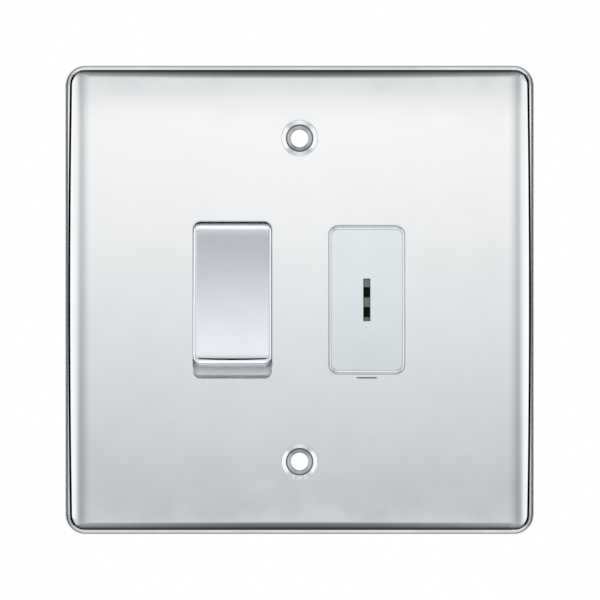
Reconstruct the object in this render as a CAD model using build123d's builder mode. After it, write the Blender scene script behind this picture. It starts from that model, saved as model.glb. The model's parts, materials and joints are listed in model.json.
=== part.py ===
"""Two-module wall switch: a rocker and a key-worked switch behind one pressed plate.

Millimetres, Z up. The front faces -Y and the wall plane is Y = 0.
"""

import os
from math import atan2, cos, degrees, radians, sin, tan

from build123d import *

os.makedirs("parts", exist_ok=True)

# Fits
running_gap = 0.05
slip_gap = 0.1
swing_gap = 0.4

# Front plate, pressed from one sheet
plate_side = 93.0
plate_rise = 4.2
sheet = 1.0
plate_corner = 4.0
lip_rise = 1.2
lip_round = 0.4
lip_at_sides = 0.6
lip_at_ends = 0.95
side_bow = 0.4
body_corner = 2.9
shoulder_run = 4.4
shoulder_fall = 2.0
shoulder_edge = 1.0
end_bend = 1.7
opening_width = 15.46
opening_height = 30.95
opening_corner = 1.5
opening_round = 0.25
plate_screw_spacing = 64.1
plate_screw_hole_radius = 1.8
cup_ring_radius = 2.73
cup_mouth_radius = 3.9
slit_width = 3.9
slit_height = 0.3
slit_drop = 0.82

# Foam gasket behind the plate
gasket_band = 3.0

# Key cover
cover_width = 14.83
cover_height = 29.2
cover_corner = 1.6
cover_stand = 1.6
cover_wall = 1.2
cover_front_wall = 1.6
cover_round = 1.0
cover_skirt_lip = 0.45
cover_skirt_base = 0.2
key_slot_width = 1.35
key_slot_height = 8.37

# Sheet frame that carries the modules
frame_width = 70.0
frame_height = 73.0
frame_sheet = 1.2
frame_corner_cut = 10.0
box_screw_spacing = 60.3
box_screw_hole_radius = 2.1
thread_collar_radius = 2.9
thread_hole_radius = 1.75
earth_x = 20.5
earth_z = -29.0

# Module body
module_gap = 2.2
body_width = 24.4
body_height = 44.0
wall = 1.6
partition = 1.2
neck_wall = 1.7
neck_end_wall = 1.8
neck_slope = 0.825
neck_depth = 2.2
bearing_drop = 3.0
bearing_half_height = 3.5
latch_half_width = 3.0
latch_reach = 0.9
base_thickness = 3.0
body_corner_round = 1.0
base_edge_cut = 0.5

# Lever and its pivot
pivot_depth = 1.8
stub_radius = 1.5
stub_end_gap = 0.3
hub_half_width = 5.8
hub_half_height = 3.4
hub_tail = 3.0
barrel_radius = 2.6
barrel_tail = 6.4
bore_radius = 1.6
bore_floor = 1.0

# Rocker
rocker_tilt = 10.0
cap_width = 15.1
cap_half_crest = 14.1
cap_half_foot = 14.36
cap_reach = 8.9
cap_skirt = 2.6
cap_crown = 0.83
cap_wall = 1.2
cap_end_round = 1.8
cap_side_round = 1.0
saddle_rise = 4.6

# Key lever
key_tilt = 5.0
key_face_reach = 5.3
key_face_half_height = 5.4
pocket_near = 0.95
pocket_far = 3.0
pocket_half_width = 0.9
pocket_floor = 1.9

# Plunger and spring
nose_reach = 9.6
plunger_tail = 4.4
plunger_gap = 0.06
spring_wall = 0.45

# See-saw contact
blade_tilt = 7.0
blade_half_length = 9.6
blade_half_width = 2.5
blade_sheet = 1.0
blade_cover = 1.35
ridge_radius = 0.8
tip_offset = 8.0
tip_radius = 1.5
tip_rise = 0.8
tip_margin = 0.5
contact_gap = 0.05

# Terminals
strip = 1.0
strip_half_width = 3.5
strip_inner_end = 6.0
strip_gap = 1.4
tongue_half_height = 2.2
clamp_width = 7.0
clamp_depth = 8.0
clamp_length = 7.8
clamp_recess = 0.6
clamp_gap = 0.25
clamp_spread = 5.65
wire_bore_radius = 2.1
wire_bore_from_back = 4.6
tap_radius = 1.4
screw_head_radius = 2.6
screw_head_height = 1.8
screw_lift = 0.4
screw_slot = 0.7

# Base screws
pilot_radius = 0.9
pilot_depth = 7.0
base_screw_head_radius = 1.7
base_screw_head_height = 1.1
base_screw_low_x = 8.2

# Places that follow from the sizes above
module_pitch = body_width + module_gap
rocker_x = -module_pitch / 2
key_x = module_pitch / 2
panel_back = plate_rise - sheet
neck_front = panel_back - slip_gap
body_half_width = plate_side / 2 - lip_at_sides
body_half_height = plate_side / 2 - lip_at_ends
neck_half_width = cap_width / 2 + swing_gap
neck_half_height = opening_height / 2 + swing_gap - slip_gap
neck_outer_half_width = neck_half_width + neck_wall
neck_outer_half_height = neck_half_height + neck_end_wall
throat_half_height = neck_half_height - neck_slope
bearing_length = body_width / 2 - wall - neck_half_width - running_gap
plunger_radius = bore_radius - slip_gap
valley_depth = pivot_depth + nose_reach + plunger_gap
ridge_depth = valley_depth + blade_cover
blade_back = blade_cover - blade_sheet / cos(radians(blade_tilt))
closed_depth = ridge_depth - blade_back * cos(radians(blade_tilt))
strip_front = closed_depth + 2 * tip_rise + contact_gap
strip_back = strip_front + strip
clamp_front = strip_back - clamp_depth
clamp_z = body_height / 2 - clamp_recess - clamp_length / 2
clamp_inner_z = clamp_z - clamp_length / 2
chamber_half_height = clamp_inner_z - clamp_gap - partition
wire_depth = strip_back - wire_bore_from_back
fixed_tip_z = tip_offset + blade_back * sin(radians(blade_tilt))

# Section planes: height off the wall runs up the page in both
across = Plane(origin=(0, 0, 0), x_dir=(1, 0, 0), z_dir=(0, 0, -1))
upright = Plane(origin=(0, 0, 0), x_dir=(0, 0, 1), z_dir=(1, 0, 0))


def save(builder, name):
    """Name a finished piece and write it out."""
    builder.part.label = name
    export_step(builder.part, f"parts/{name}.step")


def block(x, y, z, mode=Mode.ADD):
    """Rectangular block between two limits on each axis."""
    with Locations(((x[0] + x[1]) / 2, (y[0] + y[1]) / 2, (z[0] + z[1]) / 2)):
        Box(x[1] - x[0], y[1] - y[0], z[1] - z[0], mode=mode)


def facing(x, depth, lean):
    """Plane at a pivot, looking out of the wall and leaning back by an angle in degrees."""
    turn = radians(lean)
    return Plane(origin=(x, depth, 0), x_dir=(1, 0, 0), z_dir=(0, -cos(turn), sin(turn)))


def side_of(plane):
    """Plane at right angles to a facing plane, for drawing its side profile."""
    return Plane(origin=plane.origin, x_dir=plane.y_dir, z_dir=plane.x_dir)


def crowned_section(half_width, rise):
    """Flat-topped section whose shoulders fall away in two tangent arcs, tighter at the edge."""
    spring_line = rise - shoulder_fall
    inner = half_width - shoulder_run
    reach = shoulder_run * (shoulder_run - 2 * shoulder_edge) + shoulder_fall**2
    crown = reach / (2 * (shoulder_fall - shoulder_edge))
    edge_turn = degrees(atan2(crown - shoulder_fall, shoulder_run - shoulder_edge))
    crown_turn = degrees(atan2(shoulder_run - shoulder_edge, crown - shoulder_fall))
    with BuildSketch() as section:
        with BuildLine():
            right_edge = JernArc((half_width, spring_line), (0, 1), shoulder_edge, edge_turn)
            right_crown = JernArc(right_edge @ 1, right_edge % 1, crown, crown_turn)
            top = Line(right_crown @ 1, (-inner, rise))
            left_crown = JernArc(top @ 1, (-1, 0), crown, crown_turn)
            left_edge = JernArc(left_crown @ 1, left_crown % 1, shoulder_edge, edge_turn)
            Polyline(left_edge @ 1, (-half_width, 0), (half_width, 0), (half_width, spring_line))
        make_face()
    return section.sketch


def bent_section(half_height, rise, bend):
    """Flat-topped section with its two upper corners bent over a radius."""
    with BuildSketch() as section:
        with Locations((0, rise / 2)):
            Rectangle(2 * half_height, rise)
        fillet(section.vertices().group_by(Axis.Y)[-1], bend)
    return section.sketch


def pillow(inset):
    """Raised body of the plate, drawn in from its outside by an inset."""
    half_width = body_half_width - inset
    half_height = body_half_height - inset
    with BuildPart() as body:
        with BuildSketch(across):
            add(crowned_section(half_width, plate_rise - inset))
        extrude(amount=half_height, both=True)
        with BuildSketch(upright):
            add(bent_section(half_height, plate_rise - inset, end_bend - inset))
        extrude(amount=half_width, both=True, mode=Mode.INTERSECT)
        with BuildSketch(Plane.XZ):
            with BuildLine():
                edge = half_width - side_bow
                Line((-edge, half_height), (edge, half_height))
                ThreePointArc((edge, half_height), (half_width, 0), (edge, -half_height))
                Line((edge, -half_height), (-edge, -half_height))
                ThreePointArc((-edge, -half_height), (-half_width, 0), (-edge, half_height))
            make_face()
            fillet(vertices(), body_corner - inset)
        extrude(amount=plate_rise, mode=Mode.INTERSECT)
    return body.part


# Front plate: lip and pillow body, hollowed to the sheet, then pierced and dished
with BuildPart() as front_plate:
    with BuildSketch(Plane.XZ):
        RectangleRounded(plate_side, plate_side, plate_corner)
    extrude(amount=lip_rise)
    lip_edge = front_plate.faces().sort_by(Axis.Y)[0].outer_wire().edges()
    fillet(lip_edge, lip_round)
    add(pillow(0))
    add(pillow(sheet), mode=Mode.SUBTRACT)
    with BuildSketch(Plane.XZ):
        with Locations((rocker_x, 0)):
            RectangleRounded(opening_width, opening_height, opening_corner)
        with Locations((key_x, 0)):
            RectangleRounded(cover_width + 2 * slip_gap, cover_height + 2 * slip_gap, cover_corner + slip_gap)
    extrude(amount=plate_rise, mode=Mode.SUBTRACT)
    face = front_plate.faces().filter_by(GeomType.PLANE).sort_by(Axis.Y)[0]
    fillet([edge for rim in face.inner_wires() for edge in rim.edges()], opening_round)
    with BuildSketch(Plane.XZ):
        with Locations((key_x, -cover_height / 2 - slit_drop)):
            Rectangle(slit_width, slit_height)
    extrude(amount=plate_rise, mode=Mode.SUBTRACT)
    cup_bend = (cup_mouth_radius - cup_ring_radius) / sin(radians(45))
    ring_drop = cup_bend * (1 - cos(radians(45)))
    seat_drop = ring_drop + cup_ring_radius - plate_screw_hole_radius
    slant = sheet * sin(radians(45))
    middle = radians(22.5)
    inner_bend = cup_bend - sheet
    for hole_z in (plate_screw_spacing / 2, -plate_screw_spacing / 2):
        with BuildSketch(Plane.XZ):
            with Locations((0, hole_z)):
                Circle(cup_mouth_radius)
        extrude(amount=plate_rise, mode=Mode.SUBTRACT)
        cup = Plane(origin=(0, -plate_rise, hole_z), x_dir=(1, 0, 0), z_dir=(0, 0, -1))
        with BuildSketch(cup):
            with BuildLine():
                ThreePointArc(
                    (cup_mouth_radius, 0),
                    (cup_mouth_radius - cup_bend * sin(middle), cup_bend * cos(middle) - cup_bend),
                    (cup_ring_radius, -ring_drop),
                )
                Polyline(
                    (cup_ring_radius, -ring_drop),
                    (plate_screw_hole_radius, -seat_drop),
                    (plate_screw_hole_radius, -seat_drop - slant),
                    (plate_screw_hole_radius + slant, -seat_drop - slant),
                    (cup_ring_radius + slant, -ring_drop - slant),
                )
                ThreePointArc(
                    (cup_ring_radius + slant, -ring_drop - slant),
                    (cup_mouth_radius - inner_bend * sin(middle), inner_bend * cos(middle) - cup_bend),
                    (cup_mouth_radius, -sheet),
                )
                Line((cup_mouth_radius, -sheet), (cup_mouth_radius, 0))
            make_face()
        revolve(axis=Axis((0, -plate_rise, hole_z), (0, 1, 0)))
save(front_plate, "front_plate")

# Foam gasket: a low ring against the inside of the plate's rim
with BuildPart() as plate_gasket:
    gasket_side = 2 * (body_half_height - sheet - slip_gap)
    gasket_opening = gasket_side - 2 * gasket_band
    with BuildSketch(Plane.XZ):
        RectangleRounded(gasket_side, gasket_side, body_corner)
        RectangleRounded(gasket_opening, gasket_opening, body_corner, mode=Mode.SUBTRACT)
    extrude(amount=panel_back - shoulder_fall - slip_gap)
save(plate_gasket, "plate_gasket")

# Sheet frame: windows for the necks, holes for the box screws, threaded collars for the plate screws
with BuildPart() as grid_frame:
    window_width = 2 * (neck_outer_half_width + slip_gap)
    window_height = 2 * (neck_outer_half_height + slip_gap)
    with BuildSketch(Plane.XZ):
        Rectangle(frame_width, frame_height)
        chamfer(vertices(), frame_corner_cut)
        with Locations((rocker_x, 0), (key_x, 0)):
            Rectangle(window_width, window_height, mode=Mode.SUBTRACT)
        with Locations((-box_screw_spacing / 2, 0), (box_screw_spacing / 2, 0)):
            Circle(box_screw_hole_radius, mode=Mode.SUBTRACT)
    extrude(amount=frame_sheet)
    collar_rise = plate_rise - seat_drop - slant - slip_gap
    with BuildSketch(Plane.XZ):
        with Locations((0, plate_screw_spacing / 2), (0, -plate_screw_spacing / 2)):
            Circle(thread_collar_radius)
    extrude(amount=collar_rise)
    with BuildSketch(Plane.XZ):
        with Locations((0, plate_screw_spacing / 2), (0, -plate_screw_spacing / 2)):
            Circle(thread_hole_radius)
    extrude(amount=collar_rise, mode=Mode.SUBTRACT)
save(grid_frame, "grid_frame")

# Earth clamp on the back of the frame, with its screw backed out
with BuildPart() as earth_terminal:
    earth_low = earth_z - clamp_length / 2
    earth_high = earth_z + clamp_length / 2
    block((earth_x - clamp_width / 2, earth_x + clamp_width / 2), (0, clamp_depth), (earth_low, earth_high))
    with BuildSketch(Plane.XY.offset(earth_low)):
        with Locations((earth_x, clamp_depth - wire_bore_from_back)):
            Circle(wire_bore_radius)
    extrude(amount=clamp_length, mode=Mode.SUBTRACT)
    with BuildSketch(Plane.XZ.offset(-clamp_depth)):
        with Locations((earth_x, earth_z)):
            Circle(tap_radius)
    extrude(amount=wire_bore_from_back, mode=Mode.SUBTRACT)
save(earth_terminal, "earth_terminal")


def clamp_screw(x, back, z):
    """Slotted clamp screw, head outward, backed out until its end clears the wire hole."""
    seat = back + screw_lift
    with BuildPart() as screw:
        with BuildSketch(Plane.XZ.offset(-seat)):
            with Locations((x, z)):
                Circle(screw_head_radius)
        extrude(amount=-screw_head_height)
        with BuildSketch(Plane.XZ.offset(-seat)):
            with Locations((x, z)):
                Circle(tap_radius - running_gap)
        extrude(amount=screw_lift + wire_bore_from_back - wire_bore_radius - slip_gap)
        top = seat + screw_head_height
        block(
            (x - screw_head_radius, x + screw_head_radius),
            (top - screw_head_height / 2, top),
            (z - screw_slot / 2, z + screw_slot / 2),
            mode=Mode.SUBTRACT,
        )
    return screw.part


with BuildPart() as earth_screw:
    add(clamp_screw(earth_x, clamp_depth, earth_z))
save(earth_screw, "earth_screw")


def lever_core(plane):
    """Pivot stubs, hub and plunger barrel, the same under a rocker and in a key switch."""
    with BuildPart() as core:
        with BuildSketch(plane.offset(-hub_tail)):
            Rectangle(2 * hub_half_width, 2 * hub_half_height)
        extrude(amount=hub_tail + saddle_rise)
        with BuildSketch(side_of(plane)):
            Circle(stub_radius)
        extrude(amount=neck_half_width + bearing_length - stub_end_gap, both=True)
        with BuildSketch(plane.offset(-barrel_tail)):
            Circle(barrel_radius)
        extrude(amount=barrel_tail)
        with BuildSketch(plane.offset(-barrel_tail)):
            Circle(bore_radius)
        extrude(amount=barrel_tail + bore_floor, mode=Mode.SUBTRACT)
    return core.part


rocker_plane = facing(rocker_x, pivot_depth, rocker_tilt)
key_plane = facing(key_x, pivot_depth, -key_tilt)

# Rocker cap: a crowned shell with round-ended profile, drawn on the leaning plane of its rest position
with BuildPart() as rocker_cap:
    with BuildSketch(side_of(rocker_plane)):
        with BuildLine():
            Polyline(
                (-cap_half_crest, cap_reach),
                (-cap_half_foot, cap_skirt),
                (cap_half_foot, cap_skirt),
                (cap_half_crest, cap_reach),
            )
            ThreePointArc((cap_half_crest, cap_reach), (0, cap_reach + cap_crown), (-cap_half_crest, cap_reach))
        make_face()
        fillet(vertices().group_by(Axis.Y)[-1], cap_end_round)
    extrude(amount=cap_width / 2, both=True)
    flanks = rocker_cap.faces().filter_by(Axis.X)
    flank_edges = flanks[0].edges() + flanks[-1].edges()
    above_foot = cap_skirt + slip_gap
    raised = [edge for edge in flank_edges if rocker_plane.to_local_coords(edge.center()).Z > above_foot]
    fillet(raised, cap_side_round)
    with BuildSketch(rocker_plane.offset(cap_skirt)):
        Rectangle(cap_width - 2 * cap_wall, 2 * (cap_half_crest - cap_wall))
    extrude(amount=cap_reach - cap_wall - cap_skirt, mode=Mode.SUBTRACT)
save(rocker_cap, "rocker_cap")

# Rocker lever: the core with a long saddle that the cap is pushed on to
with BuildPart() as rocker_dolly:
    add(lever_core(rocker_plane))
    with BuildSketch(rocker_plane.offset(saddle_rise)):
        Rectangle(2 * hub_half_width, 2 * (cap_half_crest - cap_wall - slip_gap))
    extrude(amount=cap_reach - cap_wall - slip_gap - saddle_rise)
save(rocker_dolly, "rocker_dolly")

# Key lever: a flat face with two pockets for a forked key and the bar between them
with BuildPart() as key_dolly:
    add(lever_core(key_plane))
    with BuildSketch(key_plane.offset(pocket_floor)):
        Rectangle(2 * hub_half_width, 2 * key_face_half_height)
    extrude(amount=key_face_reach - pocket_floor)
    with BuildSketch(key_plane.offset(pocket_floor)):
        with Locations((0, (pocket_near + pocket_far) / 2), (0, -(pocket_near + pocket_far) / 2)):
            Rectangle(2 * pocket_half_width, pocket_far - pocket_near)
    extrude(amount=key_face_reach - pocket_floor, mode=Mode.SUBTRACT)
save(key_dolly, "key_dolly")

# Key cover: a fixed block through the plate, trapped behind it by a skirt, with the key slot
with BuildPart() as key_cover:
    with BuildSketch(Plane.XZ.offset(cover_skirt_base)):
        with Locations((key_x, 0)):
            skirt_spread = 2 * cover_skirt_lip
            RectangleRounded(cover_width + skirt_spread, cover_height + skirt_spread, cover_corner)
    extrude(amount=neck_front - cover_skirt_base)
    with BuildSketch(Plane.XZ.offset(neck_front)):
        with Locations((key_x, 0)):
            RectangleRounded(cover_width, cover_height, cover_corner)
    extrude(amount=plate_rise + cover_stand - neck_front)
    fillet(key_cover.faces().sort_by(Axis.Y)[0].edges(), cover_round)
    with BuildSketch(Plane.XZ.offset(cover_skirt_base)):
        with Locations((key_x, 0)):
            Rectangle(cover_width - 2 * cover_wall, cover_height - 2 * cover_wall)
    extrude(amount=plate_rise + cover_stand - cover_front_wall - cover_skirt_base, mode=Mode.SUBTRACT)
    with BuildSketch(Plane.XZ):
        with Locations((key_x, 0)):
            Rectangle(key_slot_width, key_slot_height)
    extrude(amount=plate_rise + cover_stand, mode=Mode.SUBTRACT)
save(key_cover, "key_cover")

# The two modules share their bodies, contacts and terminals
for module, x, plane, lean in (
    ("rocker", rocker_x, rocker_plane, rocker_tilt),
    ("key", key_x, key_plane, -key_tilt),
):
    inner_half_width = body_width / 2 - wall
    bay_half_width = clamp_width / 2 + clamp_gap
    clamps = {
        "common": (x + clamp_spread, 1),
        "upper": (x - clamp_spread, 1),
        "lower": (x, -1),
    }
    base_screws = ((x, clamp_z), (x - base_screw_low_x, -clamp_z), (x + base_screw_low_x, -clamp_z))

    # Housing: neck through the frame with a floor under the lever's ends, contact chamber, open clamp bays
    with BuildPart() as housing:
        with BuildSketch(Plane.XZ):
            with Locations((x, 0)):
                RectangleRounded(body_width, body_height, body_corner_round)
        extrude(amount=-strip_back)
        block(
            (x - neck_outer_half_width, x + neck_outer_half_width),
            (-neck_front, 0),
            (-neck_outer_half_height, neck_outer_half_height),
        )
        for end in (1, -1):
            latch_z = sorted((end * neck_outer_half_height, end * (neck_outer_half_height + latch_reach)))
            block(
                (x - latch_half_width, x + latch_half_width),
                (-frame_sheet - slip_gap - latch_reach, -frame_sheet - slip_gap),
                latch_z,
            )
        block(
            (x - inner_half_width, x + inner_half_width),
            (wall, strip_back),
            (-chamber_half_height, chamber_half_height),
            mode=Mode.SUBTRACT,
        )
        for clamp_x, end in clamps.values():
            bay_z = sorted((end * (chamber_half_height + partition), end * body_height / 2))
            block(
                (clamp_x - bay_half_width, clamp_x + bay_half_width),
                (clamp_front - clamp_gap, strip_back),
                bay_z,
                mode=Mode.SUBTRACT,
            )
            pass_z = sorted((end * chamber_half_height, end * (chamber_half_height + partition)))
            block(
                (clamp_x - bay_half_width, clamp_x + bay_half_width),
                (strip_front - slip_gap, strip_back),
                pass_z,
                mode=Mode.SUBTRACT,
            )
        for side in (1, -1):
            bearing_x = sorted((x + side * neck_half_width, x + side * (neck_half_width + bearing_length)))
            block(bearing_x, (0, pivot_depth + bearing_drop), (-bearing_half_height, bearing_half_height))
        with BuildSketch(Plane(origin=(x, 0, 0), x_dir=(0, 0, 1), z_dir=(1, 0, 0))):
            Polygon(
                (-throat_half_height, -neck_depth),
                (throat_half_height, -neck_depth),
                (neck_half_height, neck_front),
                (-neck_half_height, neck_front),
                align=None,
            )
        extrude(amount=neck_half_width, both=True, mode=Mode.SUBTRACT)
        with BuildSketch(side_of(plane)):
            Circle(stub_radius + running_gap)
        extrude(amount=neck_half_width + bearing_length, both=True, mode=Mode.SUBTRACT)
        with BuildSketch(Plane.XZ.offset(-strip_back)):
            with Locations(*base_screws):
                Circle(pilot_radius)
        extrude(amount=pilot_depth, mode=Mode.SUBTRACT)
    save(housing, f"{module}_housing")

    # Base: flat back cover with wells over the clamp screws
    with BuildPart() as base:
        with BuildSketch(Plane.XZ.offset(-strip_back)):
            with Locations((x, 0)):
                RectangleRounded(body_width, body_height, body_corner_round)
        extrude(amount=-base_thickness)
        chamfer(base.faces().sort_by(Axis.Y)[-1].edges(), base_edge_cut)
        with BuildSketch(Plane.XZ.offset(-strip_back)):
            with Locations(*[(clamp_x, end * clamp_z) for clamp_x, end in clamps.values()]):
                Circle(screw_head_radius + swing_gap)
            with Locations(*base_screws):
                Circle(pilot_radius + slip_gap)
        extrude(amount=-base_thickness, mode=Mode.SUBTRACT)
        with BuildSketch(Plane.XZ.offset(-strip_back - base_thickness)):
            with Locations(*base_screws):
                Circle(base_screw_head_radius + slip_gap)
        extrude(amount=base_screw_head_height + slip_gap, mode=Mode.SUBTRACT)
    save(base, f"{module}_base")

    # Three small screws through the base into the housing
    with BuildPart() as small_screws:
        head_seat = strip_back + base_thickness - base_screw_head_height - slip_gap
        with BuildSketch(Plane.XZ.offset(-head_seat)):
            with Locations(*base_screws):
                Circle(base_screw_head_radius)
        extrude(amount=-base_screw_head_height)
        with BuildSketch(Plane.XZ.offset(-head_seat)):
            with Locations(*base_screws):
                Circle(pilot_radius - running_gap)
        extrude(amount=head_seat - strip_back + pilot_depth - slip_gap)
    save(small_screws, f"{module}_base_screws")

    # Plunger with a rounded nose, and the spring behind it
    with BuildPart() as plunger:
        nose_centre = plane.offset(plunger_radius - nose_reach)
        with BuildSketch(nose_centre):
            Circle(plunger_radius)
        extrude(amount=nose_reach - plunger_radius - plunger_tail)
        with Locations(nose_centre.location):
            Sphere(plunger_radius)
    save(plunger, f"{module}_plunger")
    with BuildPart() as spring:
        with BuildSketch(plane.offset(-plunger_tail)):
            Circle(plunger_radius)
            Circle(plunger_radius - spring_wall, mode=Mode.SUBTRACT)
        extrude(amount=plunger_tail + bore_floor)
    save(spring, f"{module}_spring")

    # See-saw blade, closed on the side its plunger leans to
    blade_lean = -blade_tilt if lean > 0 else blade_tilt
    blade_plane = facing(x, ridge_depth, blade_lean)
    rise_at_end = blade_half_length * tan(radians(blade_tilt))
    with BuildPart() as contact:
        with BuildSketch(side_of(blade_plane)):
            Polygon(
                (-blade_half_length, blade_cover + rise_at_end),
                (0, blade_cover),
                (blade_half_length, blade_cover + rise_at_end),
                (blade_half_length, blade_back + rise_at_end),
                (0, blade_back),
                (-blade_half_length, blade_back + rise_at_end),
                align=None,
            )
            Circle(ridge_radius + running_gap, mode=Mode.SUBTRACT)
        extrude(amount=blade_half_width, both=True)
    save(contact, f"{module}_contact")
    with BuildPart() as moving_tips:
        bend = radians(blade_tilt)
        for end in (1, -1):
            along = blade_plane.y_dir * (end * cos(bend)) + blade_plane.z_dir * sin(bend)
            inward = blade_plane.y_dir * (end * sin(bend)) - blade_plane.z_dir * cos(bend)
            seat = blade_plane.origin + blade_plane.z_dir * blade_back + along * tip_offset
            with BuildSketch(Plane(origin=seat, x_dir=(1, 0, 0), z_dir=inward)):
                Circle(tip_radius)
            extrude(amount=tip_rise)
    save(moving_tips, f"{module}_moving_tips")
    with BuildPart() as fixed_tips:
        with BuildSketch(Plane.XZ.offset(-strip_front)):
            with Locations((x, fixed_tip_z), (x, -fixed_tip_z)):
                Circle(tip_radius)
        extrude(amount=tip_rise)
    save(fixed_tips, f"{module}_fixed_tips")

    # Terminals: a drilled and tapped clamp with its strip, the common one carrying the ridge
    for role, (clamp_x, end) in clamps.items():
        clamp_span = sorted((end * clamp_inner_z, end * (clamp_inner_z + clamp_length)))
        clamp_sides = (clamp_x - clamp_width / 2, clamp_x + clamp_width / 2)
        with BuildPart() as terminal:
            block(clamp_sides, (clamp_front, strip_back), clamp_span)
            with BuildSketch(Plane.XY.offset(clamp_span[0])):
                with Locations((clamp_x, wire_depth)):
                    Circle(wire_bore_radius)
            extrude(amount=clamp_length, mode=Mode.SUBTRACT)
            with BuildSketch(Plane.XZ.offset(-strip_back)):
                with Locations((clamp_x, end * clamp_z)):
                    Circle(tap_radius)
            extrude(amount=wire_bore_from_back, mode=Mode.SUBTRACT)
            depth = (strip_front, strip_back)
            tip_side = x + tip_radius + tip_margin
            if role == "common":
                leg_x = tip_side + strip_gap
                ridge_sides = (x - tongue_half_height, x + tongue_half_height)
                block((leg_x, clamp_sides[1]), depth, (-tongue_half_height, clamp_inner_z))
                block((x - blade_half_width, clamp_sides[1]), depth, (-tongue_half_height, tongue_half_height))
                block(ridge_sides, (ridge_depth, strip_front), (-ridge_radius, ridge_radius))
                with BuildSketch(Plane(origin=(x, ridge_depth, 0), x_dir=(0, 0, 1), z_dir=(1, 0, 0))):
                    Circle(ridge_radius)
                extrude(amount=tongue_half_height, both=True)
            if role == "upper":
                block(clamp_sides, depth, (strip_inner_end, clamp_inner_z))
                block((clamp_sides[0], tip_side), depth, (strip_inner_end, chamber_half_height - slip_gap))
            if role == "lower":
                block((x - strip_half_width, x + strip_half_width), depth, (-clamp_inner_z, -strip_inner_end))
        save(terminal, f"{module}_terminal_{role}")

    # Clamp screws
    with BuildPart() as terminal_screws:
        for clamp_x, end in clamps.values():
            add(clamp_screw(clamp_x, strip_back, end * clamp_z))
    save(terminal_screws, f"{module}_terminal_screws")
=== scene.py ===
"""Two-module wall switch: a chromed rocker and a key-worked switch behind one pressed plate."""

import json
from math import asin, atan2, cos, pi, radians, sin, sqrt, tan

import bmesh
import bpy
from mathutils import Matrix, Vector
from mathutils.geometry import delaunay_2d_cdt


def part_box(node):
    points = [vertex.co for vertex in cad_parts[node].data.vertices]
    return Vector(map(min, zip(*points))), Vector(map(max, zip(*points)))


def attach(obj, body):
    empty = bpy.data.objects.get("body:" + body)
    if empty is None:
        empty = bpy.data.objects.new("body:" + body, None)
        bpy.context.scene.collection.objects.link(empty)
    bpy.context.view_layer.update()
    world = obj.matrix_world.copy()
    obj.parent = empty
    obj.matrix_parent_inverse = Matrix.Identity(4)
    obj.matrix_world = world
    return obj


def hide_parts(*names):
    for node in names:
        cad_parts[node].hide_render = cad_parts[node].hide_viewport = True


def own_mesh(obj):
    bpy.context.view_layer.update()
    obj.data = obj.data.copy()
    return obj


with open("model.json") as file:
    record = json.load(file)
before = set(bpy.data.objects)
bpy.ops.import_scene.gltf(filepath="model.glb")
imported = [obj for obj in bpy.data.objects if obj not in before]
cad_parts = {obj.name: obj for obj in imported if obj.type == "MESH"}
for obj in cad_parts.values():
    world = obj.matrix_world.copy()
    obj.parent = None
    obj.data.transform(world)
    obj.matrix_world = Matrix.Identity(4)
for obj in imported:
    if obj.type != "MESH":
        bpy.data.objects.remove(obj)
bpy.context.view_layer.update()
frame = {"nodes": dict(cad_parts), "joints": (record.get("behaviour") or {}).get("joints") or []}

nodes = frame["nodes"]
joints = {joint["name"]: joint for joint in frame["joints"]}
scene = bpy.context.scene

# Sheet frame
# One blank of mild steel, pierced and cropped at the corners, then zinc plated. Both switch
# modules clip into its windows, and its two tapped collars take the plate screws.
MM = 0.001
FIXED = "plate_and_modules"


def linear(hex_colour):
    """Linear RGBA of an sRGB hex colour."""
    channels = [int(hex_colour[at : at + 2], 16) / 255 for at in (1, 3, 5)]
    return [c / 12.92 if c <= 0.04045 else ((c + 0.055) / 1.055) ** 2.4 for c in channels] + [1.0]


def add_node(tree, kind, settings, inputs):
    """Add a node, give it its settings, then set or link its inputs."""
    node = tree.nodes.new(kind)
    for name, value in settings.items():
        setattr(node, name, value)
    for name, value in inputs.items():
        if isinstance(value, bpy.types.NodeSocket):
            tree.links.new(value, node.inputs[name])
        else:
            node.inputs[name].default_value = value
    return node


def begin_finish(name):
    """New empty material, its tree, and the place on the piece that its patterns read."""
    material = bpy.data.materials.new(name)
    material.use_nodes = True
    tree = material.node_tree
    tree.nodes.clear()
    place = add_node(tree, "ShaderNodeTexCoord", {}, {}).outputs["Object"]
    return material, tree, place


def grain_of(tree, place, size, detail):
    """Even grain between 0 and 1 with a real size, in metres."""
    noise = add_node(tree, "ShaderNodeTexNoise", {}, {"Vector": place, "Scale": 1 / size, "Detail": detail})
    spread = {"Value": noise.outputs["Fac"], "From Min": 0.3, "From Max": 0.7}
    return add_node(tree, "ShaderNodeMapRange", {}, spread).outputs["Result"]


def shade_and_gloss(tree, grain, shades, roughness):
    """Colour and roughness that follow one grain."""
    blend = {"Fac": grain, "Color1": linear(shades[0]), "Color2": linear(shades[1])}
    shade = add_node(tree, "ShaderNodeMixRGB", {}, blend).outputs["Color"]
    gloss = {"Value": grain, "To Min": roughness[0], "To Max": roughness[1]}
    rough = add_node(tree, "ShaderNodeMapRange", {}, gloss).outputs["Result"]
    return shade, rough


def end_finish(tree, grain, shades, roughness, relief, edge, metallic=0.0):
    """Shade, gloss and relief that follow one grain, with the edges of the piece broken by a small radius."""
    shade, rough = shade_and_gloss(tree, grain, shades, roughness)
    broken = add_node(tree, "ShaderNodeBevel", {"samples": 6}, {"Radius": edge}).outputs["Normal"]
    bump = {"Height": grain, "Distance": relief, "Strength": 0.6, "Normal": broken}
    normal = add_node(tree, "ShaderNodeBump", {}, bump).outputs["Normal"]
    look = {"Base Color": shade, "Roughness": rough, "Normal": normal, "Metallic": metallic}
    shader = add_node(tree, "ShaderNodeBsdfPrincipled", {}, look)
    add_node(tree, "ShaderNodeOutputMaterial", {}, {"Surface": shader.outputs["BSDF"]})


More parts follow.
